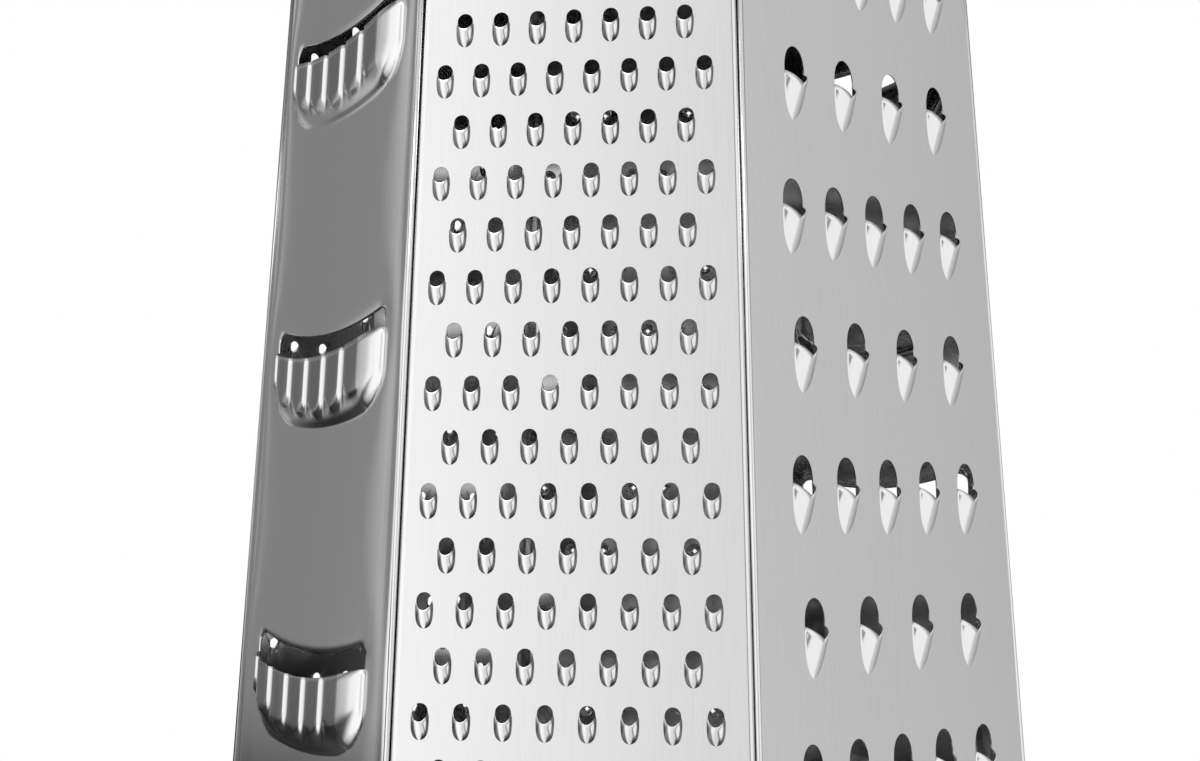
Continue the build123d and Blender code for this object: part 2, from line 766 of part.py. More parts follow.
grip_bottom = strap_middle - grip_below
with BuildPart() as grip_lower:
    with BuildSketch(Plane.XY.offset(strap_middle)):
        RectangleRounded(grip_length, grip_width, grip_corner)
    extrude(amount=-grip_below)
    fillet(grip_lower.edges().group_by(Axis.Z)[0], radius=grip_round)
    add(strap_pocket.part, mode=Mode.SUBTRACT)
    with BuildSketch(Plane.XY.offset(grip_bottom)):
        with GridLocations(screw_spread, 0, 2, 1):
            Circle(screw_radius)
    extrude(amount=grip_below, mode=Mode.SUBTRACT)
    with BuildSketch(Plane.XY.offset(grip_bottom)):
        with GridLocations(screw_spread, 0, 2, 1):
            Circle(screw_head_radius)
    extrude(amount=screw_head_height, mode=Mode.SUBTRACT)
grip_lower.part.label = "grip_lower"
export_step(grip_lower.part, "parts/grip_lower.step")

with BuildPart() as grip_screws:
    with BuildSketch(Plane.XY.offset(grip_bottom)):
        with GridLocations(screw_spread, 0, 2, 1):
            Circle(screw_head_radius)
    extrude(amount=screw_head_height)
    with BuildSketch(Plane.XY.offset(grip_bottom + screw_head_height)):
        with GridLocations(screw_spread, 0, 2, 1):
            Circle(screw_radius)
    extrude(amount=grip_below - screw_head_height + strap_thickness / 2 + screw_reach)
    with BuildSketch(Plane.XY.offset(grip_bottom)):
        with GridLocations(screw_spread, 0, 2, 1):
            for angle in (0, 90):
                Rectangle(screw_head_radius, screw_cross_width, rotation=angle)
    extrude(amount=screw_head_height / 2, mode=Mode.SUBTRACT)
grip_screws.part.label = "grip_screws"
export_step(grip_screws.part, "parts/grip_screws.step")
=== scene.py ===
"""The looks of the box grater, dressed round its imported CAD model.

Everything is in metres in the CAD model's own frame: +Z is up, the floor is at 0 under the middle of the
part, and the front panel, which carries the medium teeth, faces -Y. Panels are numbered anticlockwise seen
from above: 0 medium teeth, 1 coarse teeth, 2 plain slicer, 3 star rasp, 4 fine teeth, 5 wavy slicer.
"""

import json
import logging
import math
from dataclasses import dataclass, field
from enum import Enum

import bmesh
import bpy
import numpy as np
from mathutils import Matrix, Vector

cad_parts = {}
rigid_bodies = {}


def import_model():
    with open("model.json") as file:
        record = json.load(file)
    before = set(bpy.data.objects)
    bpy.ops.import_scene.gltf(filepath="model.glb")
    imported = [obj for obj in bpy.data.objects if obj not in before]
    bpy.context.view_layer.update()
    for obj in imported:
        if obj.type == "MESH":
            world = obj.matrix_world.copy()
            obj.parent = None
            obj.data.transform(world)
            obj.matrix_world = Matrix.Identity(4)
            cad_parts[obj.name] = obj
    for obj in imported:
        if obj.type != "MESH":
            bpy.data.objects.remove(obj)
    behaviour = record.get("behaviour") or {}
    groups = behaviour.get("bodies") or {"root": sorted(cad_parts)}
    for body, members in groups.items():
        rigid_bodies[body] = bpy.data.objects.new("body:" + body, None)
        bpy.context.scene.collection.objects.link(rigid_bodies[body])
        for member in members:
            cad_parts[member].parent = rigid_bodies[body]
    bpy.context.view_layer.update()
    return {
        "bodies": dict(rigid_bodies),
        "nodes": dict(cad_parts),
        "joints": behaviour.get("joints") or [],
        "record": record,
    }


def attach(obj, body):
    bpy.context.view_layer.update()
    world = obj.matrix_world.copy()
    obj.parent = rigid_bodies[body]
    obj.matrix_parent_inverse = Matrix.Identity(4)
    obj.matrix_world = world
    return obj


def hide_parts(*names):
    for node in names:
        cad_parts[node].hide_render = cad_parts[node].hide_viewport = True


LOG = logging.getLogger("grater")
MM = 0.001
Socket = bpy.types.NodeSocket
Tree = bpy.types.NodeTree
Material = bpy.types.Material
Mesh = bpy.types.Mesh
Thing = bpy.types.Object


# Small sums

def unit(value: float | np.ndarray) -> float | np.ndarray:
    """A value, or each of an array's, kept between 0 and 1."""
    return np.clip(value, 0.0, 1.0)


def ease(value: float | np.ndarray) -> float | np.ndarray:
    """A soft step from 0 where the value is 0 to 1 where it is 1."""
    share = unit(value)
    return share * share * (3 - 2 * share)


def circle(count: int) -> list:
    """Angles of so many equal steps round a circle, from 0."""
    return [2 * math.pi * n / count for n in range(count)]


def lerp(a: Vector, b: Vector, t: float) -> Vector:
    """The point that lies the share t of the way from a to b."""
    return a + (b - a) * t


# Nodes

def add_node(tree: Tree, kind: str, inputs: dict | None = None, **settings: object) -> bpy.types.Node:
    """Adds a node to a tree.

    Args:
        tree: the tree.
        kind: the node's type.
        inputs: what its inputs get, by name or number: a socket to link, or a value.
        settings: its other settings.

    Returns:
        The node.
    """
    node = tree.nodes.new(kind)
    for name, value in settings.items():
        setattr(node, name, value)
    for key, value in (inputs or {}).items():
        if isinstance(value, Socket):
            tree.links.new(value, node.inputs[key])
        else:
            node.inputs[key].default_value = value
    return node


def new_tree(name: str, kind: str, inputs: dict[str, str], outputs: dict[str, str]) -> tuple:
    """An empty group of nodes with named sockets.

    Args:
        name: the group's name.
        kind: Shader or Geometry.
        inputs: the kind of each input.
        outputs: the kind of each output.

    Returns:
        The group, the sockets that it is given and the sockets that it has to fill.
    """
    tree = bpy.data.node_groups.new(name, kind + "NodeTree")
    for sockets, way in ((inputs, "INPUT"), (outputs, "OUTPUT")):
        for socket, value in sockets.items():
            tree.interface.new_socket(socket, in_out=way, socket_type="NodeSocket" + value)
    return tree, tree.nodes.new("NodeGroupInput").outputs, tree.nodes.new("NodeGroupOutput").inputs


def maths(tree: Tree, operation: str, *values: Socket | float) -> Socket:
    """One step of arithmetic in a tree, on sockets or numbers."""
    return add_node(tree, "ShaderNodeMath", dict(enumerate(values)), operation=operation).outputs[0]


def vector_maths(tree: Tree, operation: str, *values: Socket | tuple) -> bpy.types.NodeOutputs:
    """One step of arithmetic on vectors in a tree, with its Vector and Value outputs."""
    return add_node(tree, "ShaderNodeVectorMath", dict(enumerate(values)), operation=operation).outputs


def smooth_step(tree: Tree, value: Socket, start: float, stop: float, low: float = 0.0) -> Socket:
    """A soft step in a tree, from low where the value is start to 1 where it is stop."""
    inputs = {"Value": value, "From Min": start, "From Max": stop, "To Min": low}
    return add_node(tree, "ShaderNodeMapRange", inputs, interpolation_type="SMOOTHSTEP").outputs[0]


def noise(tree: Tree, place: Socket, scale: float | Socket, detail: float) -> Socket:
    """A noise texture in a tree, from 0 to 1."""
    return add_node(tree, "ShaderNodeTexNoise", {"Vector": place, "Scale": scale, "Detail": detail}).outputs["Fac"]


def blend(tree: Tree, share: Socket, one: Socket, two: Socket) -> Socket:
    """Mixes two colours in a tree: the first where the share is 0, the second where it is 1."""
    return add_node(tree, "ShaderNodeMix", {0: share, 6: one, 7: two}, data_type="RGBA").outputs[2]


def object_place(tree: Tree) -> Socket:
    """Where a point lies on its object, in a tree."""
    return add_node(tree, "ShaderNodeTexCoord").outputs["Object"]


def seen_directly(tree: Tree) -> Socket:
    """Whether a ray comes from the camera, a reflection or glass.

    Args:
        tree: the tree that asks.

    Returns:
        The socket that is 1 for such rays and 0 for others.
    """
    path = add_node(tree, "ShaderNodeLightPath").outputs
    found = maths(tree, "MAXIMUM", path["Is Camera Ray"], path["Is Glossy Ray"])
    return maths(tree, "MAXIMUM", found, path["Is Transmission Ray"])


# The camera, the studio and the light

@dataclass(frozen=True)
class Camera:
    """The photograph's point of view.

    Args:
        place: where the lens stands, in metres.
        yaw: how far the view is turned to the left of +Y, in radians.
        pitch: how far the view is tipped up, in radians.
        roll: how far the frame is turned about the view, in radians.
        lens: focal length in millimetres on a 36 mm wide sensor.
    """

    place: tuple[float, float, float] = (0.0409, -0.2978, 0.1066)
    yaw: float = 0.1466
    pitch: float = 0.0937
    roll: float = 0.003
    lens: float = 49.83

    def build(self) -> None:
        """Makes the camera and hands it to the scene."""
        data = bpy.data.cameras.new("camera")
        data.lens = self.lens
        data.sensor_width = 36.0
        data.clip_start = 0.01
        data.clip_end = 50.0
        camera = new_object("camera", data)
        turn = Matrix.Rotation(self.yaw, 4, "Z") @ Matrix.Rotation(math.pi / 2 + self.pitch, 4, "X")
        camera.matrix_world = Matrix.Translation(self.place) @ turn @ Matrix.Rotation(self.roll, 4, "Z")
        bpy.context.scene.camera = camera


@dataclass(frozen=True)
class Studio:
    """A pale floor, white surroundings and a tent of soft panels that the steel reflects.

    Args:
        floor_half: half the floor's side, in metres.
        floor_tone: the floor's grey.
        floor_roughness: how much it blurs what it reflects.
        near: distance from the part's axis where the floor starts to go over to white, in metres.
        far: distance where it is white.
        sky_level: strength of the surroundings for light that isn't seen directly.
        profile: the tent's section from its lower edge up, as (distance from the part's axis, height), in metres.
        gain: factor on the tent's brightness, as steel gives back only part of it.
        low_level: share of the brightness that is left at the tent's lower edge on its dark side.
        low_side: direction of that side, as an angle from +x.
        low_ends: distances from the axis between which the dark side brightens, in metres.
        low_turns: cosines of the turns from that direction between which it starts and is full.
        wall: the wall's brightness by direction, as (degrees from +X towards +Y, level).
        lamp_place: where the lamp hangs, in metres.
        lamp_aim: where it points.
        lamp_size: its width, in metres.
        lamp_watts: its strength.
    """

    floor_half: float = 6.0
    floor_tone: float = 0.9
    floor_roughness: float = 0.7
    near: float = 0.16
    far: float = 0.42
    sky_level: float = 0.8
    profile: tuple[tuple[float, float], ...] = (
        (0.09, 0.002), (0.25, 0.003), (0.55, 0.006), (0.8, 0.02), (1.0, 0.08), (1.1, 0.2), (1.1, 1.5),
    )
    gain: float = 1.25
    low_level: float = 0.1
    low_side: float = math.radians(150)
    low_ends: tuple[float, float] = (0.35, 0.9)
    low_turns: tuple[float, float] = (0.85, 0.35)
    wall: tuple[tuple[float, float], ...] = (
        (-180, 0.70), (-168, 1.10), (-120, 1.22), (-106, 1.12), (-92, 0.84), (-76, 0.86), (-71, 0.30),
        (-66, 0.30), (-60, 1.05), (-12, 1.05), (-3, 0.70), (6, 0.64), (18, 0.54), (35, 0.40), (50, 0.30),
        (62, 0.14), (100, 0.14), (112, 0.15), (128, 0.22), (137, 0.46), (143, 0.40), (147, 0.25), (156, 0.24),
        (160, 0.38), (165, 0.52), (172, 0.62),
    )
    lamp_place: tuple[float, float, float] = (-0.5, -0.8, 1.3)
    lamp_aim: tuple[float, float, float] = (0.0, 0.0, 0.1)
    lamp_size: float = 0.7
    lamp_watts: float = 5.0

    def build(self) -> None:
        """Makes the surroundings, the floor, the tent and the lamp."""
        world = bpy.data.worlds.new("studio")
        bpy.context.scene.world = world
        self._sky(world)
        self._floor()
        self._tent()
        self._lamp()
        bpy.context.scene.view_settings.view_transform = "Standard"
        LOG.info("studio: floor, tent and lamp")

    def _sky(self, world: bpy.types.World) -> None:
        """Makes the surroundings white where they are seen, and a little less bright as light.

        Args:
            world: the scene's world.
        """
        world.use_nodes = True
        tree = world.node_tree
        tree.nodes.clear()
        level = {"Value": seen_directly(tree), "To Min": self.sky_level, "To Max": 1.0}
        strength = add_node(tree, "ShaderNodeMapRange", level).outputs[0]
        back = add_node(tree, "ShaderNodeBackground", {"Color": (1, 1, 1, 1), "Strength": strength})
        add_node(tree, "ShaderNodeOutputWorld", {"Surface": back.outputs[0]})

    def _floor(self) -> None:
        """Makes the floor, which goes over to white away from the part and keeps the part's shadow."""
        h = self.floor_half
        mesh = bpy.data.meshes.new("floor")
        mesh.from_pydata([(-h, -h, 0), (h, -h, 0), (h, h, 0), (-h, h, 0)], [], [(0, 1, 2, 3)])
        floor = new_object("floor", mesh)
        material = bpy.data.materials.new("floor")
        material.use_nodes = True
        tree = material.node_tree
        shader = tree.nodes["Principled BSDF"]
        shader.inputs["Base Color"].default_value = (self.floor_tone, self.floor_tone, self.floor_tone, 1)
        shader.inputs["Roughness"].default_value = self.floor_roughness
        distance = vector_maths(tree, "LENGTH", object_place(tree))["Value"]
        away = smooth_step(tree, distance, self.near, self.far)
        share = maths(tree, "MULTIPLY", away, seen_directly(tree))
        white = add_node(tree, "ShaderNodeEmission")
        mix = add_node(tree, "ShaderNodeMixShader", {0: share, 1: shader.outputs[0], 2: white.outputs[0]})
        tree.links.new(mix.outputs[0], tree.nodes["Material Output"].inputs["Surface"])
        mesh.materials.append(material)

    def _tent(self) -> None:
        """Makes the tent, seen only in the steel, which is darker near the floor on one side."""
        around, faces = 96, []
        verts = [(math.cos(a) * r, math.sin(a) * r, z) for r, z in self.profile for a in circle(around)]
        for k in range(0, around * (len(self.profile) - 1), around):
            for n, m in zip(range(around), [*range(1, around), 0]):
                faces.append([k + n, k + around + n, k + around + m, k + m])
        mesh = bpy.data.meshes.new("tent")
        mesh.from_pydata(verts, [], faces)
        material = bpy.data.materials.new("tent")
        material.use_nodes = True
        tree = material.node_tree
        tree.nodes.clear()
        spot = object_place(tree)
        turn = add_node(tree, "ShaderNodeTexGradient", {"Vector": spot}, gradient_type="RADIAL").outputs["Fac"]
        level = maths(tree, "MULTIPLY", self._curve(tree, turn), 2.0 * self.gain)
        flat = vector_maths(tree, "MULTIPLY", spot, (1, 1, 0))[0]
        low_way = (math.cos(self.low_side), math.sin(self.low_side), 0)
        toward = vector_maths(tree, "DOT_PRODUCT", vector_maths(tree, "NORMALIZE", flat)[0], low_way)["Value"]
        fade = smooth_step(tree, vector_maths(tree, "LENGTH", flat)["Value"], *self.low_ends, self.low_level)
        spared = maths(tree, "MAXIMUM", fade, smooth_step(tree, toward, *self.low_turns))
        glow = add_node(tree, "ShaderNodeEmission", {"Strength": maths(tree, "MULTIPLY", level, spared)})
        add_node(tree, "ShaderNodeOutputMaterial", {"Surface": glow.outputs[0]})
        mesh.materials.append(material)
        tent = new_object("tent", mesh)
        for ray in ("camera", "shadow", "transmission", "diffuse"):
            setattr(tent, "visible_" + ray, False)

    def _curve(self, tree: Tree, turn: Socket) -> Socket:
        """The wall's brightness by direction.

        Args:
            tree: the tree that asks.
            turn: the direction, from 0 to 1.

        Returns:
            The socket with half the brightness.
        """
        ramp = add_node(tree, "ShaderNodeFloatCurve", {"Value": turn})
        points = sorted(((azimuth + 180) / 360, level / 2) for azimuth, level in self.wall)
        points.append((1.0, points[0][1]))
        curve = ramp.mapping.curves[0]
        curve.points[0].location = points[0]
        curve.points[1].location = points[-1]
        for point in points[1:-1]:
            curve.points.new(*point)
        for point in curve.points:
            point.handle_type = "VECTOR"
        ramp.mapping.update()
        return ramp.outputs[0]

    def _lamp(self) -> None:
        """Makes the soft lamp that throws the part's shadow."""
        data = bpy.data.lights.new("lamp", "AREA")
        data.shape = "DISK"
        data.size = self.lamp_size
        data.energy = self.lamp_watts
        lamp = new_object("lamp", data)
        lamp.location = self.lamp_place
        lamp.rotation_euler = (Vector(self.lamp_aim) - Vector(self.lamp_place)).to_track_quat("-Z", "Y").to_euler()


# Finishes

SURFACE = {"Place": "Vector", "Light": "Color", "Dark": "Color", "Roughness": "Float"}
SURFACE_MADE = {"Colour": "Color", "Roughness": "Float", "Height": "Float"}


class Grain(Enum):
    """How the fine lines in a surface run, as a share of their fineness along x, y and z."""

    UPRIGHT = (1.0, 1.0, 0.02)
    ACROSS = (0.02, 1.0, 1.0)
    EVEN = (1.0, 1.0, 1.0)


def steel_group() -> Tree:
    """Steel's fine lines, slow waves and smudges, and painted shade that darkens and roughens it.

    Returns:
        The group.
    """
    more = {"Lines": "Float", "Smudges": "Float", "PaintedShade": "Float"}
    group, given, made = new_tree("steel_surface", "Shader", SURFACE | more, SURFACE_MADE)
    lines = noise(group, given["Place"], scale=given["Lines"], detail=3.0)
    waves = noise(group, given["Place"], scale=22.0, detail=1.0)
    cloud = noise(group, given["Place"], scale=60.0, detail=4.0)
    smudge = maths(group, "MULTIPLY", maths(group, "SUBTRACT", cloud, 0.5), given["Smudges"])
    streak = maths(group, "MULTIPLY", maths(group, "SUBTRACT", lines, 0.5), 0.12)
    mark = maths(group, "ADD", maths(group, "MULTIPLY", smudge, 0.5), streak)
    # Painted shade: where the mesh asks for it, the colour is mixed towards the dark grey and the roughness raised.
    painted_shade = maths(group, "MULTIPLY", given["PaintedShade"], maths(group, "MULTIPLY_ADD", cloud, 0.3, 0.82))
    share = maths(group, "MINIMUM", maths(group, "ABSOLUTE", maths(group, "ADD", mark, painted_shade)), 1.0)
    rough = maths(group, "MULTIPLY_ADD", smudge, 0.35, given["Roughness"])
    rough = maths(group, "MULTIPLY_ADD", given["PaintedShade"], 0.12, rough)
    group.links.new(blend(group, share, given["Light"], given["Dark"]), made["Colour"])
    group.links.new(maths(group, "MAXIMUM", rough, 0.05), made["Roughness"])
    group.links.new(maths(group, "MULTIPLY_ADD", lines, 0.0016, waves), made["Height"])
    return group


def moulded_group() -> Tree:
    """What moulded plastic and rubber do: a pebbled skin, flow marks and dust in its hollows.

    Returns:
        The group.
    """
    more = {"Pebbles": "Float", "Dust": "Float"}
    group, given, made = new_tree("moulded_surface", "Shader", SURFACE | more, SURFACE_MADE)
    pebble = {"Vector": given["Place"], "Scale": given["Pebbles"]}
    hollow = add_node(group, "ShaderNodeTexVoronoi", pebble, feature="SMOOTH_F1").outputs["Distance"]
    flow = noise(group, given["Place"], scale=45.0, detail=5.0)
    fine = noise(group, given["Place"], scale=2600.0, detail=2.0)
    dust = maths(group, "MULTIPLY", maths(group, "MULTIPLY", hollow, flow), given["Dust"])
    rough = maths(group, "MULTIPLY_ADD", maths(group, "SUBTRACT", flow, 0.5), 0.25, given["Roughness"])
    group.links.new(blend(group, dust, given["Dark"], given["Light"]), made["Colour"])
    group.links.new(rough, made["Roughness"])
    group.links.new(maths(group, "SUBTRACT", maths(group, "MULTIPLY", fine, 0.25), hollow), made["Height"])
    return group


def start_material(name: str, group: Tree, grain: Grain, depth: float, given: dict) -> tuple:
    """A material whose colour, roughness and bumps come from a group.

    Args:
        name: the material's name.
        group: the group.
        grain: how the surface's lines run.
        depth: how deep its bumps are, in metres.
        given: what the group's inputs get.

    Returns:
        The material, its shader and its group node.
    """
    material = bpy.data.materials.new(name)
    material.use_nodes = True
    tree = material.node_tree
    shader = tree.nodes["Principled BSDF"]
    centre = {"Vector": object_place(tree), "Location": (0.013, 0.007, -0.11), "Scale": grain.value}
    place = add_node(tree, "ShaderNodeMapping", centre).outputs["Vector"]
    node = add_node(tree, "ShaderNodeGroup", {"Place": place} | given, node_tree=group)
    bump = add_node(tree, "ShaderNodeBump", {"Distance": depth, "Height": node.outputs["Height"]})
    tree.links.new(node.outputs["Colour"], shader.inputs["Base Color"])
    tree.links.new(node.outputs["Roughness"], shader.inputs["Roughness"])
    tree.links.new(bump.outputs["Normal"], shader.inputs["Normal"])
    return material, shader, node


@dataclass(frozen=True)
class Steel:
    """A stainless steel finish.

    Args:
        name: the material's name.
        tone: its grey.
        roughness: how much it blurs what it reflects.
        grain: how its fine lines run.
        lines: how fine they are, per metre.
        smudges: how strong its smudges are.
        depth: how deep its waves are, in metres.
    """

    name: str
    tone: float = 0.64
    roughness: float = 0.12
    grain: Grain = Grain.UPRIGHT
    lines: float = 2500.0
    smudges: float = 0.12
    depth: float = 0.00015

    def build(self, group: Tree) -> Material:
        """Makes the material.

        Args:
            group: the steel's shared nodes.

        Returns:
            The material.
        """
        material, shader, node = start_material(self.name, group, self.grain, self.depth, {
            "Light": (self.tone, self.tone, self.tone, 1), "Dark": (0.02, 0.02, 0.022, 1),
            "Lines": self.lines, "Roughness": self.roughness, "Smudges": self.smudges,
        })
        shader.inputs["Metallic"].default_value = 1.0
        # Painted shade: the mesh's shade attribute darkens the steel where it is set.
        shade = add_node(material.node_tree, "ShaderNodeAttribute", attribute_name="shade")
        material.node_tree.links.new(shade.outputs["Fac"], node.inputs["PaintedShade"])
        return material


@dataclass(frozen=True)
class Moulding:
    """A moulded finish, plastic or rubber.

    Args:
        name: the material's name.
        tone: its grey.
        dusty: the grey of dust in its hollows.
        roughness: how much it blurs what it reflects.
        pebbles: how fine its pebbled skin is, per metre.
        dust: how much dust there is.
        depth: how deep its pebbles are, in metres.
    """

    name: str
    tone: float
    dusty: float
    roughness: float
    pebbles: float
    dust: float
    depth: float

    def build(self, group: Tree) -> Material:
        """Makes the material from the shared nodes of moulded things."""
        return start_material(self.name, group, Grain.EVEN, self.depth, {
            "Dark": (self.tone, self.tone, self.tone, 1), "Light": (self.dusty, self.dusty, self.dusty, 1),
            "Pebbles": self.pebbles, "Roughness": self.roughness, "Dust": self.dust,
        })[0]


def finishes() -> dict:
    """All the part's finishes.

    Returns:
        The material for each slot.
    """
    steel, moulded = steel_group(), moulded_group()
    kinds = {
        Steel("panel_steel"): steel,
        Steel("cap_steel", roughness=0.2, grain=Grain.ACROSS, smudges=0.2): steel,
        Steel("strap_steel", roughness=0.26, grain=Grain.ACROSS, smudges=0.25): steel,
        Steel("fastener_steel", roughness=0.22, grain=Grain.EVEN, smudges=0.2): steel,
        Moulding("grip_plastic", tone=0.018, dusty=0.12, roughness=0.42, pebbles=1400, dust=0.5, depth=8e-5): moulded,
        Moulding("base_plastic", tone=0.022, dusty=0.14, roughness=0.36, pebbles=2200, dust=0.4, depth=4e-5): moulded,
        Moulding("pad_rubber", tone=0.03, dusty=0.16, roughness=0.75, pebbles=3000, dust=0.8, depth=5e-5): moulded,
    }
    return {kind.name: kind.build(group) for kind, group in kinds.items()}


SLOTS = {
    "top_cap": "cap_steel", "handle_strap": "strap_steel", "handle_rivets": "fastener_steel",
    "backing_plates": "fastener_steel", "grip_upper": "grip_plastic", "grip_lower": "grip_plastic",
    "grip_screws": "fastener_steel", "base_ring": "base_plastic", "base_pads": "pad_rubber",
}


# The body: six panels on a tapered hexagon. Lengths here are in millimetres, until a mesh is made

FRONT_WIDTH = 59.4
SIDE_WIDTH = 69.8
SIDE_TURN = math.radians(50.0)
TOP_SHARE = 49.6 / FRONT_WIDTH
SHEET_BOTTOM = 3.0
SHEET_HEIGHT = 219.0
SHEET_TOP = SHEET_BOTTOM + SHEET_HEIGHT
SHEET = 0.5
HEM_RADIUS = 0.45
HEM_INSET = 0.35
FLANGE_INSET = 0.8
FOLD = 0.45
FLANGE = 4.0
HALF_FRONT = FRONT_WIDTH / 2
HALF_DEPTH = SIDE_WIDTH * math.sin(SIDE_TURN)
HALF_SPAN = HALF_FRONT + SIDE_WIDTH * math.cos(SIDE_TURN)
PLAN = (
    (-HALF_FRONT, -HALF_DEPTH), (HALF_FRONT, -HALF_DEPTH), (HALF_SPAN, 0.0),
    (HALF_FRONT, HALF_DEPTH), (-HALF_FRONT, HALF_DEPTH), (-HALF_SPAN, 0.0),
)


def taper(z: float) -> float:
    """Share of the bottom plan that is left at height z above the floor."""
    return 1 - (1 - TOP_SHARE) * (z - SHEET_BOTTOM) / SHEET_HEIGHT


@dataclass(frozen=True)
class Face:
    """One side of the body, with its own frame: x to the right, y up the slope, z outwards.

    Args:
        k: the panel's number.
    """

    k: int

    def ends(self) -> tuple[tuple[float, float], tuple[float, float]]:
        """The panel's lower left and lower right corner in plan, seen from outside."""
        return PLAN[self.k % 6], PLAN[(self.k + 1) % 6]

    def along(self) -> tuple[float, float]:
        """The panel's unit direction to the right in plan.

        Returns:
            The direction.
        """
        (x0, y0), (x1, y1) = self.ends()
        run = math.hypot(x1 - x0, y1 - y0)
        return (x1 - x0) / run, (y1 - y0) / run

    def lean(self) -> float:
        """How far the panel leans inwards, in radians."""
        (dx, dy), (x, y) = self.along(), self.ends()[0]
        return math.atan((x * dy - y * dx) * (1 - TOP_SHARE) / SHEET_HEIGHT)

    def frame(self) -> Matrix:
        """The turn and move from the panel's frame to the part's.

        Returns:
            The matrix, in millimetres.
        """
        (x0, y0), (x1, y1) = self.ends()
        dx, dy = self.along()
        tilt = self.lean()
        out = Vector((dy * math.cos(tilt), -dx * math.cos(tilt), math.sin(tilt)))
        right = Vector((dx, dy, 0))
        turn = Matrix((right, out.cross(right), out)).transposed().to_4x4()
        return Matrix.Translation(((x0 + x1) / 2, (y0 + y1) / 2, SHEET_BOTTOM)) @ turn

    def share(self, y: float) -> float:
        """Share of the bottom plan that is left at the distance y up the slope."""
        return taper(SHEET_BOTTOM + y * math.cos(self.lean()))

    def width(self, y: float) -> float:
        """Width of the panel at the distance y up the slope."""
        return (FRONT_WIDTH if self.k in (0, 3) else SIDE_WIDTH) * self.share(y)

    def middle(self, y: float) -> float:
        """How far the panel's middle line has moved to the right at the distance y up the slope."""
        ((x0, y0), (x1, y1)), (dx, dy) = self.ends(), self.along()
        return (self.share(y) - 1) * ((x0 + x1) * dx + (y0 + y1) * dy) / 2


def meet(k: int, inset_k: float, j: int, inset_j: float, z: float) -> Vector:
    """Where panels k and j, each moved inwards, cross at height z.

    Args:
        k: the first panel.
        inset_k: how far it is moved inwards.
        j: the second panel.
        inset_j: how far that is moved inwards.
        z: height above the floor.

    Returns:
        The point.
    """
    one, two = Face(k), Face(j)
    (kx, ky), (jx, jy) = one.along(), two.along()
    (px, py), (qx, qy) = one.ends()[0], two.ends()[0]
    a = (px * ky - py * kx) * taper(z) - inset_k / math.cos(one.lean())
    b = (qx * jy - qy * jx) * taper(z) - inset_j / math.cos(two.lean())
    det = -ky * jx + kx * jy
    return Vector(((-a * jx + b * kx) / det, (b * ky - a * jy) / det, z))


# Mesh helpers

def new_object(name: str, data: bpy.types.ID) -> Thing:
    """Puts an object in the scene.

    Args:
        name: the object's name.
        data: its mesh, lamp or camera.

    Returns:
        The object.
    """
    obj = bpy.data.objects.new(name, data)
    bpy.context.scene.collection.objects.link(obj)
    return obj


def make_mesh(name: str, verts: list, faces: list) -> Mesh:
    """Makes a mesh from millimetres.

    Args:
        name: the mesh's name.
        verts: its points in millimetres.
        faces: its faces as lists of point numbers.

    Returns:
        The mesh, in metres.
    """
    mesh = bpy.data.meshes.new(name)
    points = np.array([tuple(v) for v in verts], float)
    mesh.from_pydata((points * MM).tolist(), [], faces)
    mesh.update()
    return mesh


def smooth(mesh: Mesh, start: int = 0, stop: int | None = None) -> None:
    """Makes a mesh's faces smooth from one number up to another, and the rest flat."""
    for polygon in mesh.polygons:
        polygon.use_smooth = start <= polygon.index < (len(mesh.polygons) if stop is None else stop)


def set_shade(mesh: Mesh, values: list) -> None:
    """Writes the painted shade at the corners of a mesh's faces, 0 for the corners past the list's end."""
    values = values + [0.0] * (len(mesh.loops) - len(values))
    mesh.attributes.new("shade", "FLOAT", "CORNER").data.foreach_set("value", values)


def baked(obj: Thing, name: str) -> Mesh:
    """The plain mesh that an object's modifiers make.

    Args:
        obj: the object.
        name: the new mesh's name.

    Returns:
        The mesh.
    """
    bpy.context.view_layer.update()
    mesh = bpy.data.meshes.new_from_object(obj.evaluated_get(bpy.context.evaluated_depsgraph_get()))
    mesh.name = name
    return mesh


def drop(*objs: Thing) -> None:
    """Removes helper objects and their meshes.

    Args:
        objs: the objects.
    """
    for obj in objs:
        mesh = obj.data
        bpy.data.objects.remove(obj)
        bpy.data.meshes.remove(mesh)


def finished(name: str, mesh: Mesh, material: Material) -> Thing:
    """Puts a finished mesh in the scene.

    Args:
        name: the piece's name.
        mesh: its mesh.
        material: the one material of all its faces.

    Returns:
        The piece.
    """
    mesh.materials.clear()
    mesh.materials.append(material)
    return new_object(name, mesh)


def joined(name: str, meshes: list) -> Mesh:
    """Several meshes as one.

    Args:
        name: the new mesh's name.
        meshes: the meshes, which are removed.

    Returns:
        The mesh.
    """
    work = bmesh.new()
    for mesh in meshes:
        work.from_mesh(mesh)
    result = bpy.data.meshes.new(name)
    work.to_mesh(result)
    work.free()
    for mesh in meshes:
        bpy.data.meshes.remove(mesh)
    return result


def give_nodes(obj: Thing, tree: Tree, given: dict) -> None:
    """Puts geometry nodes on an object.

    Args:
        obj: the object.
        tree: the nodes.
        given: what their inputs get, by name.
    """
    modifier = obj.modifiers.new(tree.name, "NODES")
    modifier.node_group = tree
    for socket in tree.interface.items_tree:
        if socket.in_out == "INPUT" and socket.name in given:
            modifier[socket.identifier] = given[socket.name]


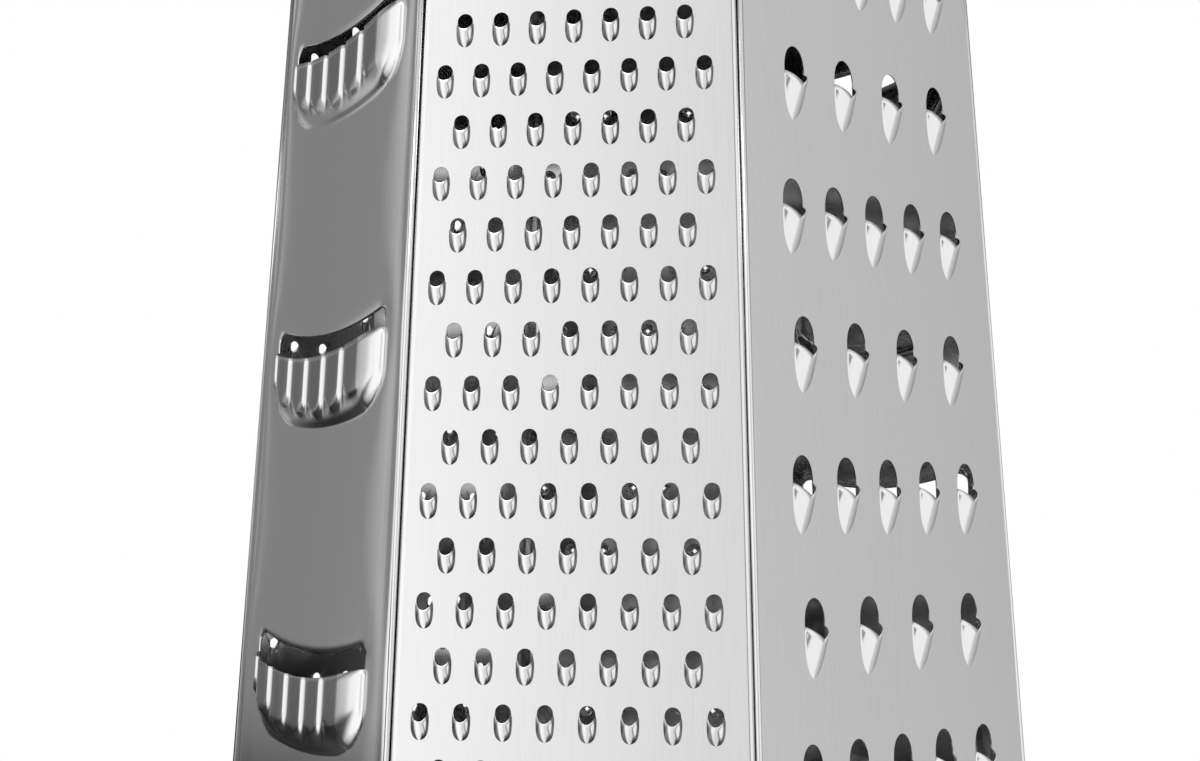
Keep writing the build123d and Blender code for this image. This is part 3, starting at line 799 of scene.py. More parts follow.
@dataclass
class Skin:
    """A mesh that is being put together from points that may be shared.

    Args:
        verts: its points.
        faces: its faces.
        known: the number of each point, by its rounded place.
    """

    verts: list = field(default_factory=list)
    faces: list = field(default_factory=list)
    known: dict = field(default_factory=dict)

    def point(self, x: float, y: float, z: float) -> int:
        """Number of a point, made if it is new.

        Args:
            x: across.
            y: up.
            z: outwards.

        Returns:
            The point's number.
        """
        key = (round(x, 5), round(y, 5), round(z, 5))
        if key not in self.known:
            self.known[key] = len(self.verts)
            self.verts.append((x, y, z))
        return self.known[key]

    def add(self, corners: list) -> None:
        """Adds one face.

        Args:
            corners: its points as (x, y, z), anticlockwise seen from outside.
        """
        ids = list(dict.fromkeys(self.point(*corner) for corner in corners))
        if len(ids) > 2:
            self.faces.append(ids)


# Teeth

@dataclass(frozen=True)
class Hood:
    """A tooth pressed out of the sheet: a hole, and a hood whose sharp mouth faces up.

    The hood is a tapering tube that dips into the sheet, as a net of lines from mouth to tail.

    Args:
        hole: half the hole's width.
        rise: height of the hole's upper half.
        mouth: from the hole's middle down to the highest point of the mouth.
        width: half the hood's width.
        length: from the hole's middle to the hood's tail.
        height: how far the hood stands out.
        plan: how long it keeps its width and how it then closes, as the two powers of its outline.
        belly: shape of the mouth, below 1 for a rounder one.
        slant: how straight the mouth's two sides run down to its highest point, from 0 to 1.
        arch: shape of the hole's upper half, below 1 for a blunter top.
        lean: how far the hood leans to the right, per unit of height.
        tail: how far its tail lies to the left.
        painted_shade: how strongly the hood's sides and the lower right of its tail are darkened, as painted shade.
        lines: lines of points across the hood.
        rings: rings of faces down the hood.
    """

    hole: float
    rise: float
    mouth: float
    width: float
    length: float
    height: float
    plan: tuple[float, float] = (5.0, 0.5)
    belly: float = 1.0
    slant: float = 0.0
    arch: float = 1.0
    lean: float = 0.0
    tail: float = 0.0
    painted_shade: float = 0.0
    lines: int = 14
    rings: int = 7

    def spot(self, phi: float, s: float) -> tuple[float, float, float]:
        """A point of the hood.

        Args:
            phi: place across, 0 at the right foot and pi at the left.
            s: place down the hood, 0 at the mouth and 1 at the tail.

        Returns:
            The point.
        """
        up = max(math.sin(phi), 0.0) ** self.belly
        start = -self.mouth * (up + (1 - abs(math.cos(phi)) - up) * self.slant)
        y = start + (-self.length - start) * s
        share = min(-y / self.length, 0.9999)
        if share > 0.9998:
            return -self.tail, -self.length, 0.0
        wide = self.width * (1 - share ** self.plan[0]) ** self.plan[1]
        tall = min(self.height * (1 - share), wide)
        radius = (wide * wide + tall * tall) / (2 * tall)
        turn = math.asin(min(wide / radius, 1.0)) * (1 - 2 * phi / math.pi)
        snug = self.hole / self.width + (1 - self.hole / self.width) * min(1.0, s * 5)
        z = max(radius * math.cos(turn) - radius + tall, 0.0)
        return radius * math.sin(turn) * snug + self.lean * z - self.tail * share ** 2, y, z

    def shade(self, phi: float, s: float) -> float:
        """The painted shade at a point of the hood.

        Args:
            phi: place across, as in spot.
            s: place down the hood, as in spot.

        Returns:
            0 for no painted shade and 1 for the darkest.
        """
        across = math.cos(phi)
        # Painted shade: a band on the left side, a thin one at the right edge and a patch low on the right.
        left = unit((-across - 0.5) / 0.2) * (0.7 + 0.3 * s)
        right = unit((across - 0.84) / 0.08) * 0.9
        foot = unit((s - 0.62) / 0.12) * unit((across - 0.35) / 0.15)
        return max(left, right, foot) * self.painted_shade

    def build(self, corners: list) -> tuple[Skin, list]:
        """The tooth in a flat rectangle of sheet.

        Args:
            corners: the rectangle's corners, anticlockwise from the upper right one.

        Returns:
            The surface, and for each curved face the shade of its corners.
        """
        skin = Skin()
        steps = [math.sin(math.pi / 2 * i / self.rings) for i in range(self.rings + 1)]
        turns = [math.pi * j / self.lines for j in range(self.lines + 1)]
        net = [[self.spot(phi, s) for s in steps] for phi in turns]
        for one, two in zip(net, net[1:]):
            for i in range(self.rings):
                skin.add([one[i], two[i], two[i + 1], one[i + 1]])
        shade = {
            skin.point(*spot): self.shade(phi, s) for phi, line in zip(turns, net) for s, spot in zip(steps, line)
        }
        curved = [[shade[v] for v in face] for face in skin.faces]
        angles = [math.pi * (1 - n / 16) for n in range(1, 16)]
        arch = [(self.hole * math.cos(a), self.rise * math.sin(a) ** self.arch, 0.0) for a in angles]
        foot = net[0] + net[-1][-2::-1]
        right, left = (min(range(len(foot)), key=lambda n: foot[n][1] - side * foot[n][0]) for side in (0.3, -0.3))
        skin.add(corners[:2] + arch[3:12])
        skin.add(corners[1:3] + foot[left:] + arch[:4])
        skin.add(corners[2:] + (foot[right:left + 1] or [foot[right]]))
        skin.add([corners[3], corners[0]] + arch[11:] + foot[:right + 1])
        return skin, curved


@dataclass(frozen=True)
class Burr:
    """A punched point of the star rasp: a small hole whose torn rim stands up in four points.

    Args:
        base: radius at the sheet.
        tip: radius of the torn rim.
        hole: radius of the hole.
        height: height of the four points.
        valley: height of the rim between the points, as a share.
        around: points round the burr, a multiple of eight.
        rings: rings of faces up its side.
    """

    base: float = 1.5
    tip: float = 0.62
    hole: float = 0.42
    height: float = 1.25
    valley: float = 0.5
    around: int = 24
    rings: int = 5

    def column(self, a: float) -> list:
        """A line of points from the hole's rim to the flat sheet.

        Args:
            a: its direction, as an angle from +x.

        Returns:
            The points.
        """
        point = abs(math.cos(2 * a)) ** 1.5
        top = self.height * (self.valley + (1 - self.valley) * point)
        rim = self.hole + (self.tip - self.hole) * (0.25 + 0.75 * point)
        shares = [t / self.rings for t in range(self.rings + 1)]
        line = [(rim + (self.base - rim) * share, top * (1 - share) ** 1.9) for share in shares]
        return [(r * math.cos(a), r * math.sin(a), z) for r, z in line + [(self.base + 0.2, 0.0)]]

    def build(self, corners: list) -> tuple[Skin, list]:
        """The burr in a flat rectangle of sheet.

        Args:
            corners: the rectangle's corners, as for a tooth.

        Returns:
            The surface, and for each curved face the shade of its corners.
        """
        skin = Skin()
        columns = [self.column(a) for a in circle(self.around)]
        for one, two in zip(columns, columns[1:] + columns[:1]):
            for t in range(len(one) - 1):
                skin.add([one[t], one[t + 1], two[t + 1], two[t]])
        curved = [[0.0] * len(face) for face in skin.faces]
        for side in range(4):
            start = self.around // 8 + side * self.around // 4
            ring = [columns[(start + i) % self.around][-1] for i in range(self.around // 4 + 1)]
            skin.add([corners[side], corners[(side + 1) % 4]] + ring[::-1])
        return skin, curved


@dataclass(frozen=True)
class Field:
    """The rows of teeth on one panel, which spread as the panel widens.

    Args:
        top: height up the slope of the upper edge of the highest holes.
        pitch: from row to row.
        rows: number of rows.
        counts: teeth in even and in odd rows.
        spacings: from tooth to tooth in even and in odd rows, half way up.
        drop: from the row's upper edge to the middle of its teeth.
        shift: how far the whole pattern lies to the right.
    """

    top: float
    pitch: float
    rows: int
    counts: tuple[int, int]
    spacings: tuple[float, float]
    drop: float
    shift: float = 0.0

    def places(self, face: Face) -> list:
        """The rows of the field, from the top down.

        Args:
            face: the panel that carries it.

        Returns:
            For each row its height up the slope and the places across.
        """
        found = []
        for row in range(self.rows):
            y = self.top - row * self.pitch
            count = self.counts[row % 2]
            step = self.spacings[row % 2] * face.width(y) / face.width(SHEET_HEIGHT / 2)
            start = face.middle(y) + self.shift - (count - 1) / 2 * step
            found.append((y - self.drop, [start + n * step for n in range(count)]))
        return found


def spreading_tree() -> Tree:
    """Geometry nodes that set one tooth on every place of a sheet and weld it in.

    Returns:
        The nodes.
    """
    tree, given, made = new_tree("spread_teeth", "Geometry", {
        "Sheet": "Geometry", "Tooth": "Object", "Places": "Object", "Shallowest": "Vector", "Deepest": "Vector",
        "Seed": "Int", "Weld": "Float", "Material": "Material",
    }, {"Sheet": "Geometry"})
    tooth = add_node(tree, "GeometryNodeObjectInfo", {"Object": given["Tooth"], "As Instance": True})
    places = add_node(tree, "GeometryNodeObjectInfo", {"Object": given["Places"]})
    ends = {0: given["Shallowest"], 1: given["Deepest"], "Seed": given["Seed"]}
    depth = add_node(tree, "FunctionNodeRandomValue", ends, data_type="FLOAT_VECTOR")
    spread = add_node(tree, "GeometryNodeInstanceOnPoints", {
        "Points": places.outputs["Geometry"], "Instance": tooth.outputs["Geometry"], "Scale": depth.outputs[0],
    })
    join = add_node(tree, "GeometryNodeJoinGeometry", {0: given["Sheet"]})
    tree.links.new(spread.outputs[0], join.inputs[0])
    real = add_node(tree, "GeometryNodeRealizeInstances", {0: join.outputs[0]})
    weld = add_node(tree, "GeometryNodeMergeByDistance", {"Geometry": real.outputs[0], "Distance": given["Weld"]})
    coat = add_node(tree, "GeometryNodeSetMaterial", {"Geometry": weld.outputs[0], "Material": given["Material"]})
    tree.links.new(coat.outputs[0], made[0])
    return tree


# Panels

@dataclass(frozen=True)
class Side:
    """The run of a panel's outer surface from its flat to one hidden edge, in the panel's frame.

    Args:
        way: -1 for the panel's left side and 1 for its right, seen from outside.
        low: the run's points at the panel's lower end.
        high: its points at the upper end.
    """

    way: int
    low: list
    high: list

    def at(self, n: int, y: float) -> tuple[float, float, float]:
        """The run's point n at the distance y up the slope."""
        return tuple(lerp(self.low[n], self.high[n], (y - self.low[0].y) / (self.high[0].y - self.low[0].y)))


def panel_side(k: int, way: int) -> Side:
    """One side of a panel: up to its hem, or round its fold and along its flange.

    Args:
        k: the panel.
        way: -1 for its left side and 1 for its right, seen from outside.

    Returns:
        The side.
    """
    j = k + way
    back = Face(k).frame().inverted()
    ends = []
    for z in (SHEET_BOTTOM, SHEET_TOP):
        points = [meet(k, 0, j, HEM_INSET, z)]
        if k % 2 == 0:
            insets = ((0, FLANGE_INSET + FOLD), (0, FLANGE_INSET), (FOLD, FLANGE_INSET))
            start, knee, after = (meet(k, own, j, other, z) for own, other in insets)
            points = [lerp(lerp(start, knee, t), lerp(knee, after, t), t) for t in (0.0, 0.25, 0.5, 0.75, 1.0)]
            points.append(knee + Vector((*Face(j).along(), 0)) * FLANGE * way)
        ends.append([back @ p for p in points])
    return Side(way, *ends)


def hem_mesh(k: int, way: int, painted_shade: float) -> Mesh:
    """The rolled edge of a panel, as a rod whose ends are closed.

    Args:
        k: the panel.
        way: -1 for its left edge and 1 for its right.
        painted_shade: how much painted shade darkens it, from 0 to 1.

    Returns:
        The mesh, in the part's frame.
    """
    around, verts = 14, []
    for z in (SHEET_BOTTOM, SHEET_TOP):
        centre = meet(k, SHEET / 2, k + way, HEM_INSET, z)
        verts += [centre + Vector((math.cos(a), math.sin(a), 0)) * HEM_RADIUS for a in circle(around)]
    low, high = list(range(around)), list(range(around, 2 * around))
    faces = [[n, (n + 1) % around, high[(n + 1) % around], high[n]] for n in low]
    mesh = make_mesh("hem", verts, faces + [low[::-1], high])
    # Painted shade: the whole hem is darkened evenly by that share.
    set_shade(mesh, [painted_shade] * len(mesh.loops))
    smooth(mesh, 0, around)
    return mesh


def set_panel(name: str, face: Face, sheet: Thing, wall: float, painted_shade: float, material: Material) -> Thing:
    """Gives a panel's surface its wall, its place in the body, its hems and its finish.

    Args:
        name: the panel's name.
        face: its side of the body.
        sheet: its surface, in its own frame, which is removed.
        wall: the wall's thickness.
        painted_shade: how much painted shade darkens its left hem, from 0 to 1.
        material: its finish.

    Returns:
        The panel's object.
    """
    solid = sheet.modifiers.new("wall", "SOLIDIFY")
    solid.thickness = wall * MM
    solid.offset = -1.0
    mesh = baked(sheet, name)
    drop(sheet)
    frame = face.frame()
    frame.translation = frame.translation * MM
    mesh.transform(frame)
    if face.k % 2:
        mesh = joined(name, [mesh, hem_mesh(face.k, -1, painted_shade), hem_mesh(face.k, 1, 0.0)])
    return finished(name, mesh, material)


@dataclass
class ToothedPanel:
    """One pressed panel with its field of teeth and its two edges.

    Args:
        name: the piece's name.
        node: the CAD node that it stands for.
        face: its side of the body.
        field: the rows of teeth.
        shape: the tooth's shape.
        half: half the width of the rectangle of sheet round a tooth.
        low: that rectangle's lower edge under the tooth's middle.
        high: its upper edge.
        seed: seed of the small differences in depth.
        wall: the steel's thickness.
    """

    name: str
    node: str
    face: Face
    field: Field
    shape: Hood | Burr
    half: float
    low: float
    high: float
    seed: int
    wall: float = 0.2

    def build(self, tree: Tree, material: Material) -> Thing:
        """Makes the panel.

        Args:
            tree: the nodes that spread the teeth.
            material: the panel's finish.

        Returns:
            The panel's object.
        """
        rows = self.field.places(self.face)
        spots = [(x, y, 0) for y, across in rows for x in across]
        sheet, tooth = new_object("sheet", self._sheet(rows)), new_object("tooth", self._tooth())
        places = new_object("places", make_mesh("places", spots, []))
        give_nodes(sheet, tree, {
            "Tooth": tooth, "Places": places, "Seed": self.seed, "Weld": 2e-6, "Material": material,
            "Shallowest": (1.0, 1.0, 0.93), "Deepest": (1.0, 1.0, 1.05),
        })
        panel = set_panel(self.name, self.face, sheet, self.wall, 0.0, material)
        drop(tooth, places)
        return panel

    def _tooth(self) -> Mesh:
        """One tooth in its rectangle of sheet.

        Returns:
            The mesh.
        """
        half, low, high = self.half, self.low, self.high
        skin, curved = self.shape.build([(half, high, 0.0), (-half, high, 0.0), (-half, low, 0.0), (half, low, 0.0)])
        mesh = make_mesh("tooth", skin.verts, skin.faces)
        set_shade(mesh, [value for values in curved for value in values])
        smooth(mesh, 0, len(curved))
        return mesh

    def _sheet(self, rows: list) -> Mesh:
        """The panel's surface, which leaves out a rectangle for each tooth.

        Args:
            rows: for each row of teeth its height up the slope and the places across.

        Returns:
            The mesh, in the panel's frame.
        """
        skin = Skin()
        left, right = panel_side(self.face.k, -1), panel_side(self.face.k, 1)
        levels = [left.high[0].y]
        above = [side.at(0, levels[0]) for side in (left, right)]
        for y, across in rows:
            edges = [x for p in across for x in (p - self.half, p + self.half)]
            upper, under = (
                [left.at(0, level)] + [(x, level, 0.0) for x in edges] + [right.at(0, level)]
                for level in (y + self.high, y + self.low)
            )
            skin.add(upper + above[::-1])
            for n in range(0, len(upper), 2):
                skin.add(under[n:n + 2] + upper[n:n + 2][::-1])
            above = under
            levels += [y + self.high, y + self.low]
        levels.append(left.low[0].y)
        skin.add([side.at(0, levels[-1]) for side in (left, right)] + above[::-1])
        flat = len(skin.faces)
        for side in (left, right):
            for n in range(len(side.low) - 1):
                for a, b in zip(levels, levels[1:]):
                    quad = [side.at(n, b), side.at(n + 1, b), side.at(n + 1, a), side.at(n, a)]
                    skin.add(quad[::side.way])
        mesh = make_mesh("sheet", skin.verts, skin.faces)
        smooth(mesh, flat)
        return mesh


# The medium and the fine teeth get painted shade on their sides and feet; the coarse ones get none.
MEDIUM_TOOTH = Hood(
    hole=1.22, rise=1.22, mouth=1.55, width=1.42, length=4.3, height=1.42, belly=0.65, painted_shade=1.0, lines=16, rings=8,
)
COARSE_TOOTH = Hood(
    hole=2.35, rise=4.3, mouth=2.0, width=2.42, length=7.9, height=1.8, plan=(3.0, 0.7), slant=0.5, arch=0.8,
    lean=0.45, tail=0.7, lines=24, rings=12,
)
FINE_TOOTH = Hood(
    hole=0.85, rise=0.85, mouth=1.05, width=1.0, length=3.1, height=0.98, belly=0.65, painted_shade=0.7, lines=10, rings=6,
)


def toothed_panels() -> list:
    """The four panels that carry fields of teeth.

    Returns:
        The panels.
    """
    medium = Field(top=203.1, pitch=8.3, rows=22, counts=(7, 8), spacings=(6.23, 6.23), drop=1.22, shift=-0.6)
    coarse = Field(top=203.8, pitch=21.85, rows=9, counts=(5, 4), spacings=(10.45, 12.9), drop=4.4, shift=0.2)
    fine = Field(top=203.6, pitch=7.0, rows=26, counts=(8, 9), spacings=(6.4, 6.4), drop=0.85)
    star = Field(top=203.0, pitch=6.6, rows=27, counts=(7, 8), spacings=(6.4, 6.4), drop=3.3)
    return [
        ToothedPanel(
            "medium_panel", "medium_shred_panel", Face(0), medium, MEDIUM_TOOTH, half=2.3, low=-5.6, high=2.2, seed=11,
        ),
        ToothedPanel(
            "coarse_panel", "coarse_shred_panel", Face(1), coarse, COARSE_TOOTH, half=3.6, low=-8.8, high=5.6, seed=12,
        ),
        ToothedPanel(
            "fine_panel", "fine_shred_panel", Face(4), fine, FINE_TOOTH, half=2.0, low=-4.2, high=1.9, seed=13,
        ),
        ToothedPanel("star_panel", "star_rasp_panel", Face(3), star, Burr(), half=2.4, low=-2.4, high=2.4, seed=14),
    ]


# How far a blade's own rows of points reach below and above its edge, over what lengths they go over to straight
# rows there, where the lower ones lie, and where the upright lines at the blade's two ends lie
BLADE_BELOW = 16.5
BLADE_ABOVE = 16.0
BELOW_FADE = 5.0
ABOVE_FADE = 12.0
TOE_ROWS = (
    -BLADE_BELOW, -15.0, -13.5, -12.6, -12.2, -11.9, -11.5, -11.0, -10.5, -10.0, -9.6, -9.2, -8.8, -8.3, -7.8,
    -7.2, -6.6, -6.0, -4.8, -3.6, -2.4, -1.2, 0.0,
)
CHEEK_LINES = (17.2, 18.2, 19.2, 20.2, 21.1, 21.9, 22.5, 22.9, 23.2, 23.35, 23.8, 24.2)


@dataclass(frozen=True)
class Blade:
    """A slicing blade pressed out of the sheet, in its own frame: across, and up from the middle of its edge.

    Args:
        half: half its width.
        sag: how much lower the edge hangs in the middle.
        rise: height of the edge above the sheet.
        fall: from the edge down to the sheet.
        slot: height of the slot above the edge.
        fingers: places across the blade of its raised fingers.
        finger_half: half the width of a finger at its foot.
        finger_wall: width of its side walls.
        finger_rise: how far it stands out.
        finger_end: from the edge down to its round end.
        cheek: width of the rounding at the blade's two ends.
        toe: width of the rounding at its lower side.
        bend: radius of its two lower corners.
        lip: how far the sheet's edge over the slot is set in.
        lip_run: height of the sheet over which it is.
        groove_share: the most that a groove takes of the blade's height.
        finger_painted_shade: how much painted shade darkens the fingers' flats, from 0 to 1.
        groove_painted_shade: how dark the painted shade line between two fingers is.
        groove_line: half that line's width.
    """

    half: float = 23.5
    sag: float = 2.8
    rise: float = 2.1
    fall: float = 12.2
    slot: float = 4.0
    fingers: tuple[float, ...] = ()
    finger_half: float = 3.7
    finger_wall: float = 1.0
    finger_rise: float = 0.6
    finger_end: float = 10.8
    cheek: float = 7.0
    toe: float = 4.4
    bend: float = 10.0
    lip: float = 0.3
    lip_run: float = 1.4
    groove_share: float = 0.8
    finger_painted_shade: float = 0.6
    groove_painted_shade: float = 0.9
    groove_line: float = 0.36

    def arc(self, x: np.ndarray, t: float) -> np.ndarray:
        """How far points at x across are lifted, t above the edge's middle, to follow the edge."""
        reach = ease((BLADE_ABOVE - t) / ABOVE_FADE if t > 0 else (BLADE_BELOW + t) / BELOW_FADE)
        return self.sag * np.clip(np.abs(x) / self.half, 0, 1.04) ** 2 * reach

    def height(self, x: np.ndarray, t: float) -> np.ndarray:
        """Height of the surface above the sheet.

        Args:
            x: across the blade.
            t: up from the edge.

        Returns:
            The height.
        """
        reach = np.abs(x)
        below = (t + self.fall) * self.cheek / self.toe
        corner = np.hypot(np.minimum(self.half - reach - self.bend, 0), min(below - self.bend, 0))
        pillow = self.rise * np.sqrt(unit(1 - (1 - unit((self.bend - corner) / self.cheek)) ** 2))
        if t <= 0:
            return pillow - np.minimum(self.finger_rise * (1 - self._cover(x, t)), pillow * self.groove_share)
        above = unit((t - self.slot) / self.lip_run)
        lip = -self.lip * (1 - above) ** 2 * unit((self.half + 1.0 - reach) / 2.0)
        if t >= self.slot:
            return lip
        return np.maximum(pillow * unit(1 - t / 1.6) ** 2, lip * (1 - unit(reach - self.half)))

    def _cover(self, x: np.ndarray, t: float) -> np.ndarray:
        """How much of the blade's full height the fingers leave standing.

        Args:
            x: across the blade.
            t: up from the edge.

        Returns:
            0 in a groove and 1 on a finger, or on a blade without fingers.
        """
        cover = unit((x - self.fingers[-1]) / 4) if self.fingers else np.ones_like(x)
        for middle in self.fingers:
            beside = np.minimum(x - middle, 0) if middle == self.fingers[-1] else x - middle
            end = self.finger_end - 0.006 * middle ** 2 - self.finger_half
            within = self.finger_half - np.hypot(beside, min(t + end, 0))
            cover = np.maximum(cover, ease(within / self.finger_wall))
        return cover

    def shade(self, x: np.ndarray, t: float) -> np.ndarray:
        """Painted shade on the fingers' flats, and most of all in a narrow line between each two fingers.

        Args:
            x: across the blade.
            t: up from the edge.

        Returns:
            0 for no painted shade and 1 for the darkest.
        """
        found = np.zeros_like(x)
        run = unit((t + self.finger_end - 0.5) / 1.5) if t <= 0 else 0.0
        for middle in self.fingers:
            flat = unit((self.finger_half - self.finger_wall + 0.1 - np.abs(x - middle)) / 0.4)
            found = np.maximum(found, self.finger_painted_shade * run * flat * (np.abs(x) < self.half - 0.5))
        # Painted shade: a narrow dark line at the bottom of each groove.
        for left, right in zip(self.fingers, self.fingers[1:]):
            line = np.exp(-((x - (left + right) / 2 + 0.05) / self.groove_line) ** 2)
            found = np.maximum(found, self.groove_painted_shade * run * line)
        return found


@dataclass
class SlicerPanel:
    """One pressed panel with its slicing blades and its two edges.

    Args:
        name: the piece's name.
        node: the CAD node that it stands for.
        face: its side of the body.
        blade: the blade's shape.
        first: height of the lowest blade's edge.
        pitch: from blade to blade.
        count: number of blades.
        crown: how far the sheet bends back towards its two edges.
        wall: the steel's thickness.
        hem_painted_shade: how much painted shade darkens its left hem, from 0 to 1.
    """

    name: str
    node: str
    face: Face
    blade: Blade
    first: float
    pitch: float
    count: int
    crown: float
    wall: float = 0.3
    hem_painted_shade: float = 0.6

    def build(self, material: Material) -> Thing:
        """Makes the panel from its finish."""
        return set_panel(self.name, self.face, new_object("sheet", self._sheet()), self.wall, self.hem_painted_shade, material)

    def _edges(self) -> list:
        """Heights up the slope of the blades' edges, from the bottom up."""
        return [self.first + n * self.pitch for n in range(self.count)]

    def _across(self) -> np.ndarray:
        """Places of the mesh's upright lines across the blade, finer where a groove's walls are.

        Returns:
            The places, from the left.
        """
        blade = self.blade
        marks = {-blade.half, blade.half}
        for middle in blade.fingers:
            for share in (-0.05, 0.2, 0.4, 0.6, 0.8, 1.0, 1.15):
                reach = blade.finger_half - share * blade.finger_wall
                marks |= {x for x in (middle - reach, middle + reach) if abs(x) < blade.half - 0.4}
        coarse = np.arange(-25.5, 25.6, 1.5).tolist()
        for lines, room in ((coarse, 0.7), ([way * x for way in (-1, 1) for x in CHEEK_LINES], 0.12)):
            marks |= {x for x in lines if min(abs(x - mark) for mark in marks) > room}
        return np.array(sorted(marks))

    def _rows(self, low_y: float, high_y: float) -> list:
        """The mesh's lines of points, from the bottom up.

        Args:
            low_y: the panel's lower end.
            high_y: its upper end.

        Returns:
            For each line its height up the slope, its blade's number, or None, and its height over that one's edge.
        """
        slot, lip = self.blade.slot, self.blade.slot + self.blade.lip_run
        over = (1.0, 2.0, 3.0, slot, slot + 0.35, slot + 0.8, lip, 7.0, 9.5, 12.5, BLADE_ABOVE)
        rows = [(low_y, None, 0.0)]
        for n, edge in enumerate(self._edges()):
            if n:
                start, stop = rows[-1][0], edge - BLADE_BELOW
                steps = max(2, int((stop - start) / 4))
                rows += [(start + (stop - start) * i / steps, None, 0.0) for i in range(1, steps)]
            rows += [(edge + t, n, t) for t in TOE_ROWS + over]
        return rows + [(high_y, None, 0.0)]

    def _line(self, y: float, t: float | None, local: np.ndarray) -> tuple:
        """One line of points across the panel.

        Args:
            y: its height up the slope.
            t: its height over the blade's edge, or None between the blades.
            local: the points' places across, from the blade's middle.

        Returns:
            Their heights up the slope, their heights above the sheet and the painted shade there.
        """
        blade = self.blade
        ys, zs, painted_shade = np.full_like(local, y), np.zeros_like(local), np.zeros_like(local)
        if t is not None:
            fade = unit(np.minimum(local - local[0], local[-1] - local) / 2.0)
            pinch = unit((np.abs(local) - blade.half + 3.0) / 3.0) ** 2 * fade
            near = max(1 - abs(t - blade.slot) / blade.slot, 0)
            ys = y + blade.arc(local, t) * fade - pinch * near * 0.4 * blade.slot
            zs, painted_shade = blade.height(local, t), blade.shade(local, t)
        return ys, zs + self._crown(y, local), painted_shade

    def _crown(self, y: float, local: np.ndarray) -> np.ndarray:
        """The slight bend of the sheet towards its edges, least beside the blades.

        Args:
            y: height up the slope.
            local: places across, from the blade's middle.

        Returns:
            How far the sheet stands out, below 0 as it bends back.
        """
        near = min(abs(y - edge) for edge in self._edges())
        flat = 0.86 - 0.28 * ease(near / (self.pitch / 2))
        share = np.where(local < 0, local / local[0], local / local[-1])
        return -self.crown * unit((share - flat) / (1 - flat)) ** 2 * unit((1 - share) / 0.08)

    def _sheet(self) -> Mesh:
        """The outer surface, as a net of lines that follow each blade's edge.

        Returns:
            The mesh, in the panel's frame.
        """
        left, right = panel_side(self.face.k, -1), panel_side(self.face.k, 1)
        low_y, high_y = left.low[0].y, left.high[0].y
        across, blade, edges = self._across(), self.blade, self._edges()
        knots = [low_y] + [edge + t for edge in edges for t in (-BLADE_BELOW, BLADE_ABOVE)] + [high_y]
        middles = [self.face.middle(y) for y in [low_y] + sorted(edges * 2) + [high_y]]
        verts, grid, painted_shade = [], [], []
        for y, n, t in self._rows(low_y, high_y):
            start, stop = left.at(0, y)[0], right.at(0, y)[0]
            middle = float(np.interp(y, knots, middles))
            inner = across + middle
            before = start + (inner[0] - start) * np.array([0.0, 0.3, 0.6, 0.85])
            after = inner[-1] + (stop - inner[-1]) * np.array([0.15, 0.4, 0.7, 1.0])
            xs = np.concatenate([before, inner, after])
            ys, zs, shade = self._line(y, None if n is None else t, xs - middle)
            grid.append((n, t, range(len(verts), len(verts) + len(xs))))
            verts += zip(xs.tolist(), ys.tolist(), zs.tolist())
            painted_shade += shade.tolist()
        faces = []
        first, last = (4 + int(np.argmin(np.abs(across - x))) for x in (-blade.half, blade.half))
        for (n, t, line), (m, above, upper) in zip(grid, grid[1:]):
            slot = n is not None and n == m and t >= 0 and above <= blade.slot
            for i in range(len(line) - 1):
                if not (slot and first <= i < last):
                    faces.append([line[i], line[i + 1], upper[i + 1], upper[i]])
        for side, column in ((left, 0), (right, -1)):
            before = [line[column] for _, _, line in grid]
            heights = [verts[i][1] for i in before]
            for n in range(1, len(side.low)):
                after = range(len(verts), len(verts) + len(heights))
                verts += [side.at(n, y) for y in heights]
                painted_shade += [0.0] * len(heights)
                for a in range(len(heights) - 1):
                    faces.append([before[a], after[a], after[a + 1], before[a + 1]][::side.way])
                before = after
        used = sorted({i for face in faces for i in face})
        number = {old: new for new, old in enumerate(used)}
        mesh = make_mesh("sheet", [verts[i] for i in used], [[number[i] for i in face] for face in faces])
        # Painted shade of the blades' fingers and grooves goes to the faces' corners.
        set_shade(mesh, [painted_shade[i] for face in faces for i in face])
        smooth(mesh)
        return mesh


def slicer_panels() -> list:
    """The two panels that carry slicing blades.

    Returns:
        The panels.
    """
    first_finger, finger_pitch, fingers = -23.45, 7.7, 6
    wavy = Blade(fingers=tuple(first_finger + finger_pitch * n for n in range(fingers)))
    plain = Blade(rise=1.9)
    return [
        SlicerPanel("wavy_panel", "wavy_slicer_panel", Face(5), wavy, first=26.0, pitch=54.1, count=4, crown=0.6),
        SlicerPanel("plain_panel", "plain_slicer_panel", Face(2), plain, first=28.0, pitch=40.5, count=5, crown=0.0),
    ]


# Small parts that repeat

def setting_tree() -> Tree:
    """Geometry nodes that set a small part on every place, turned as the place says.

    Returns:
        The nodes.
    """
    tree, given, made = new_tree("set_parts", "Geometry", {
        "Places": "Geometry", "Part": "Object", "Turn": "Float", "Seed": "Int", "Material": "Material",
    }, {"Parts": "Geometry"})
    part = add_node(tree, "GeometryNodeObjectInfo", {"Object": given["Part"], "As Instance": True})
    heading = add_node(tree, "GeometryNodeInputNamedAttribute", {"Name": "heading"}, data_type="FLOAT")
    least = maths(tree, "MULTIPLY", given["Turn"], -1.0)
    loose = add_node(tree, "FunctionNodeRandomValue", {2: least, 3: given["Turn"], "Seed": given["Seed"]})
    total = maths(tree, "ADD", heading.outputs["Attribute"], loose.outputs[1])
    spread = add_node(tree, "GeometryNodeInstanceOnPoints", {
        "Points": given["Places"], "Instance": part.outputs["Geometry"],
        "Rotation": add_node(tree, "ShaderNodeCombineXYZ", {"Z": total}).outputs[0],
    })
    real = add_node(tree, "GeometryNodeRealizeInstances", {0: spread.outputs[0]})
    coat = add_node(tree, "GeometryNodeSetMaterial", {"Geometry": real.outputs[0], "Material": given["Material"]})
    tree.links.new(coat.outputs[0], made[0])
    return tree


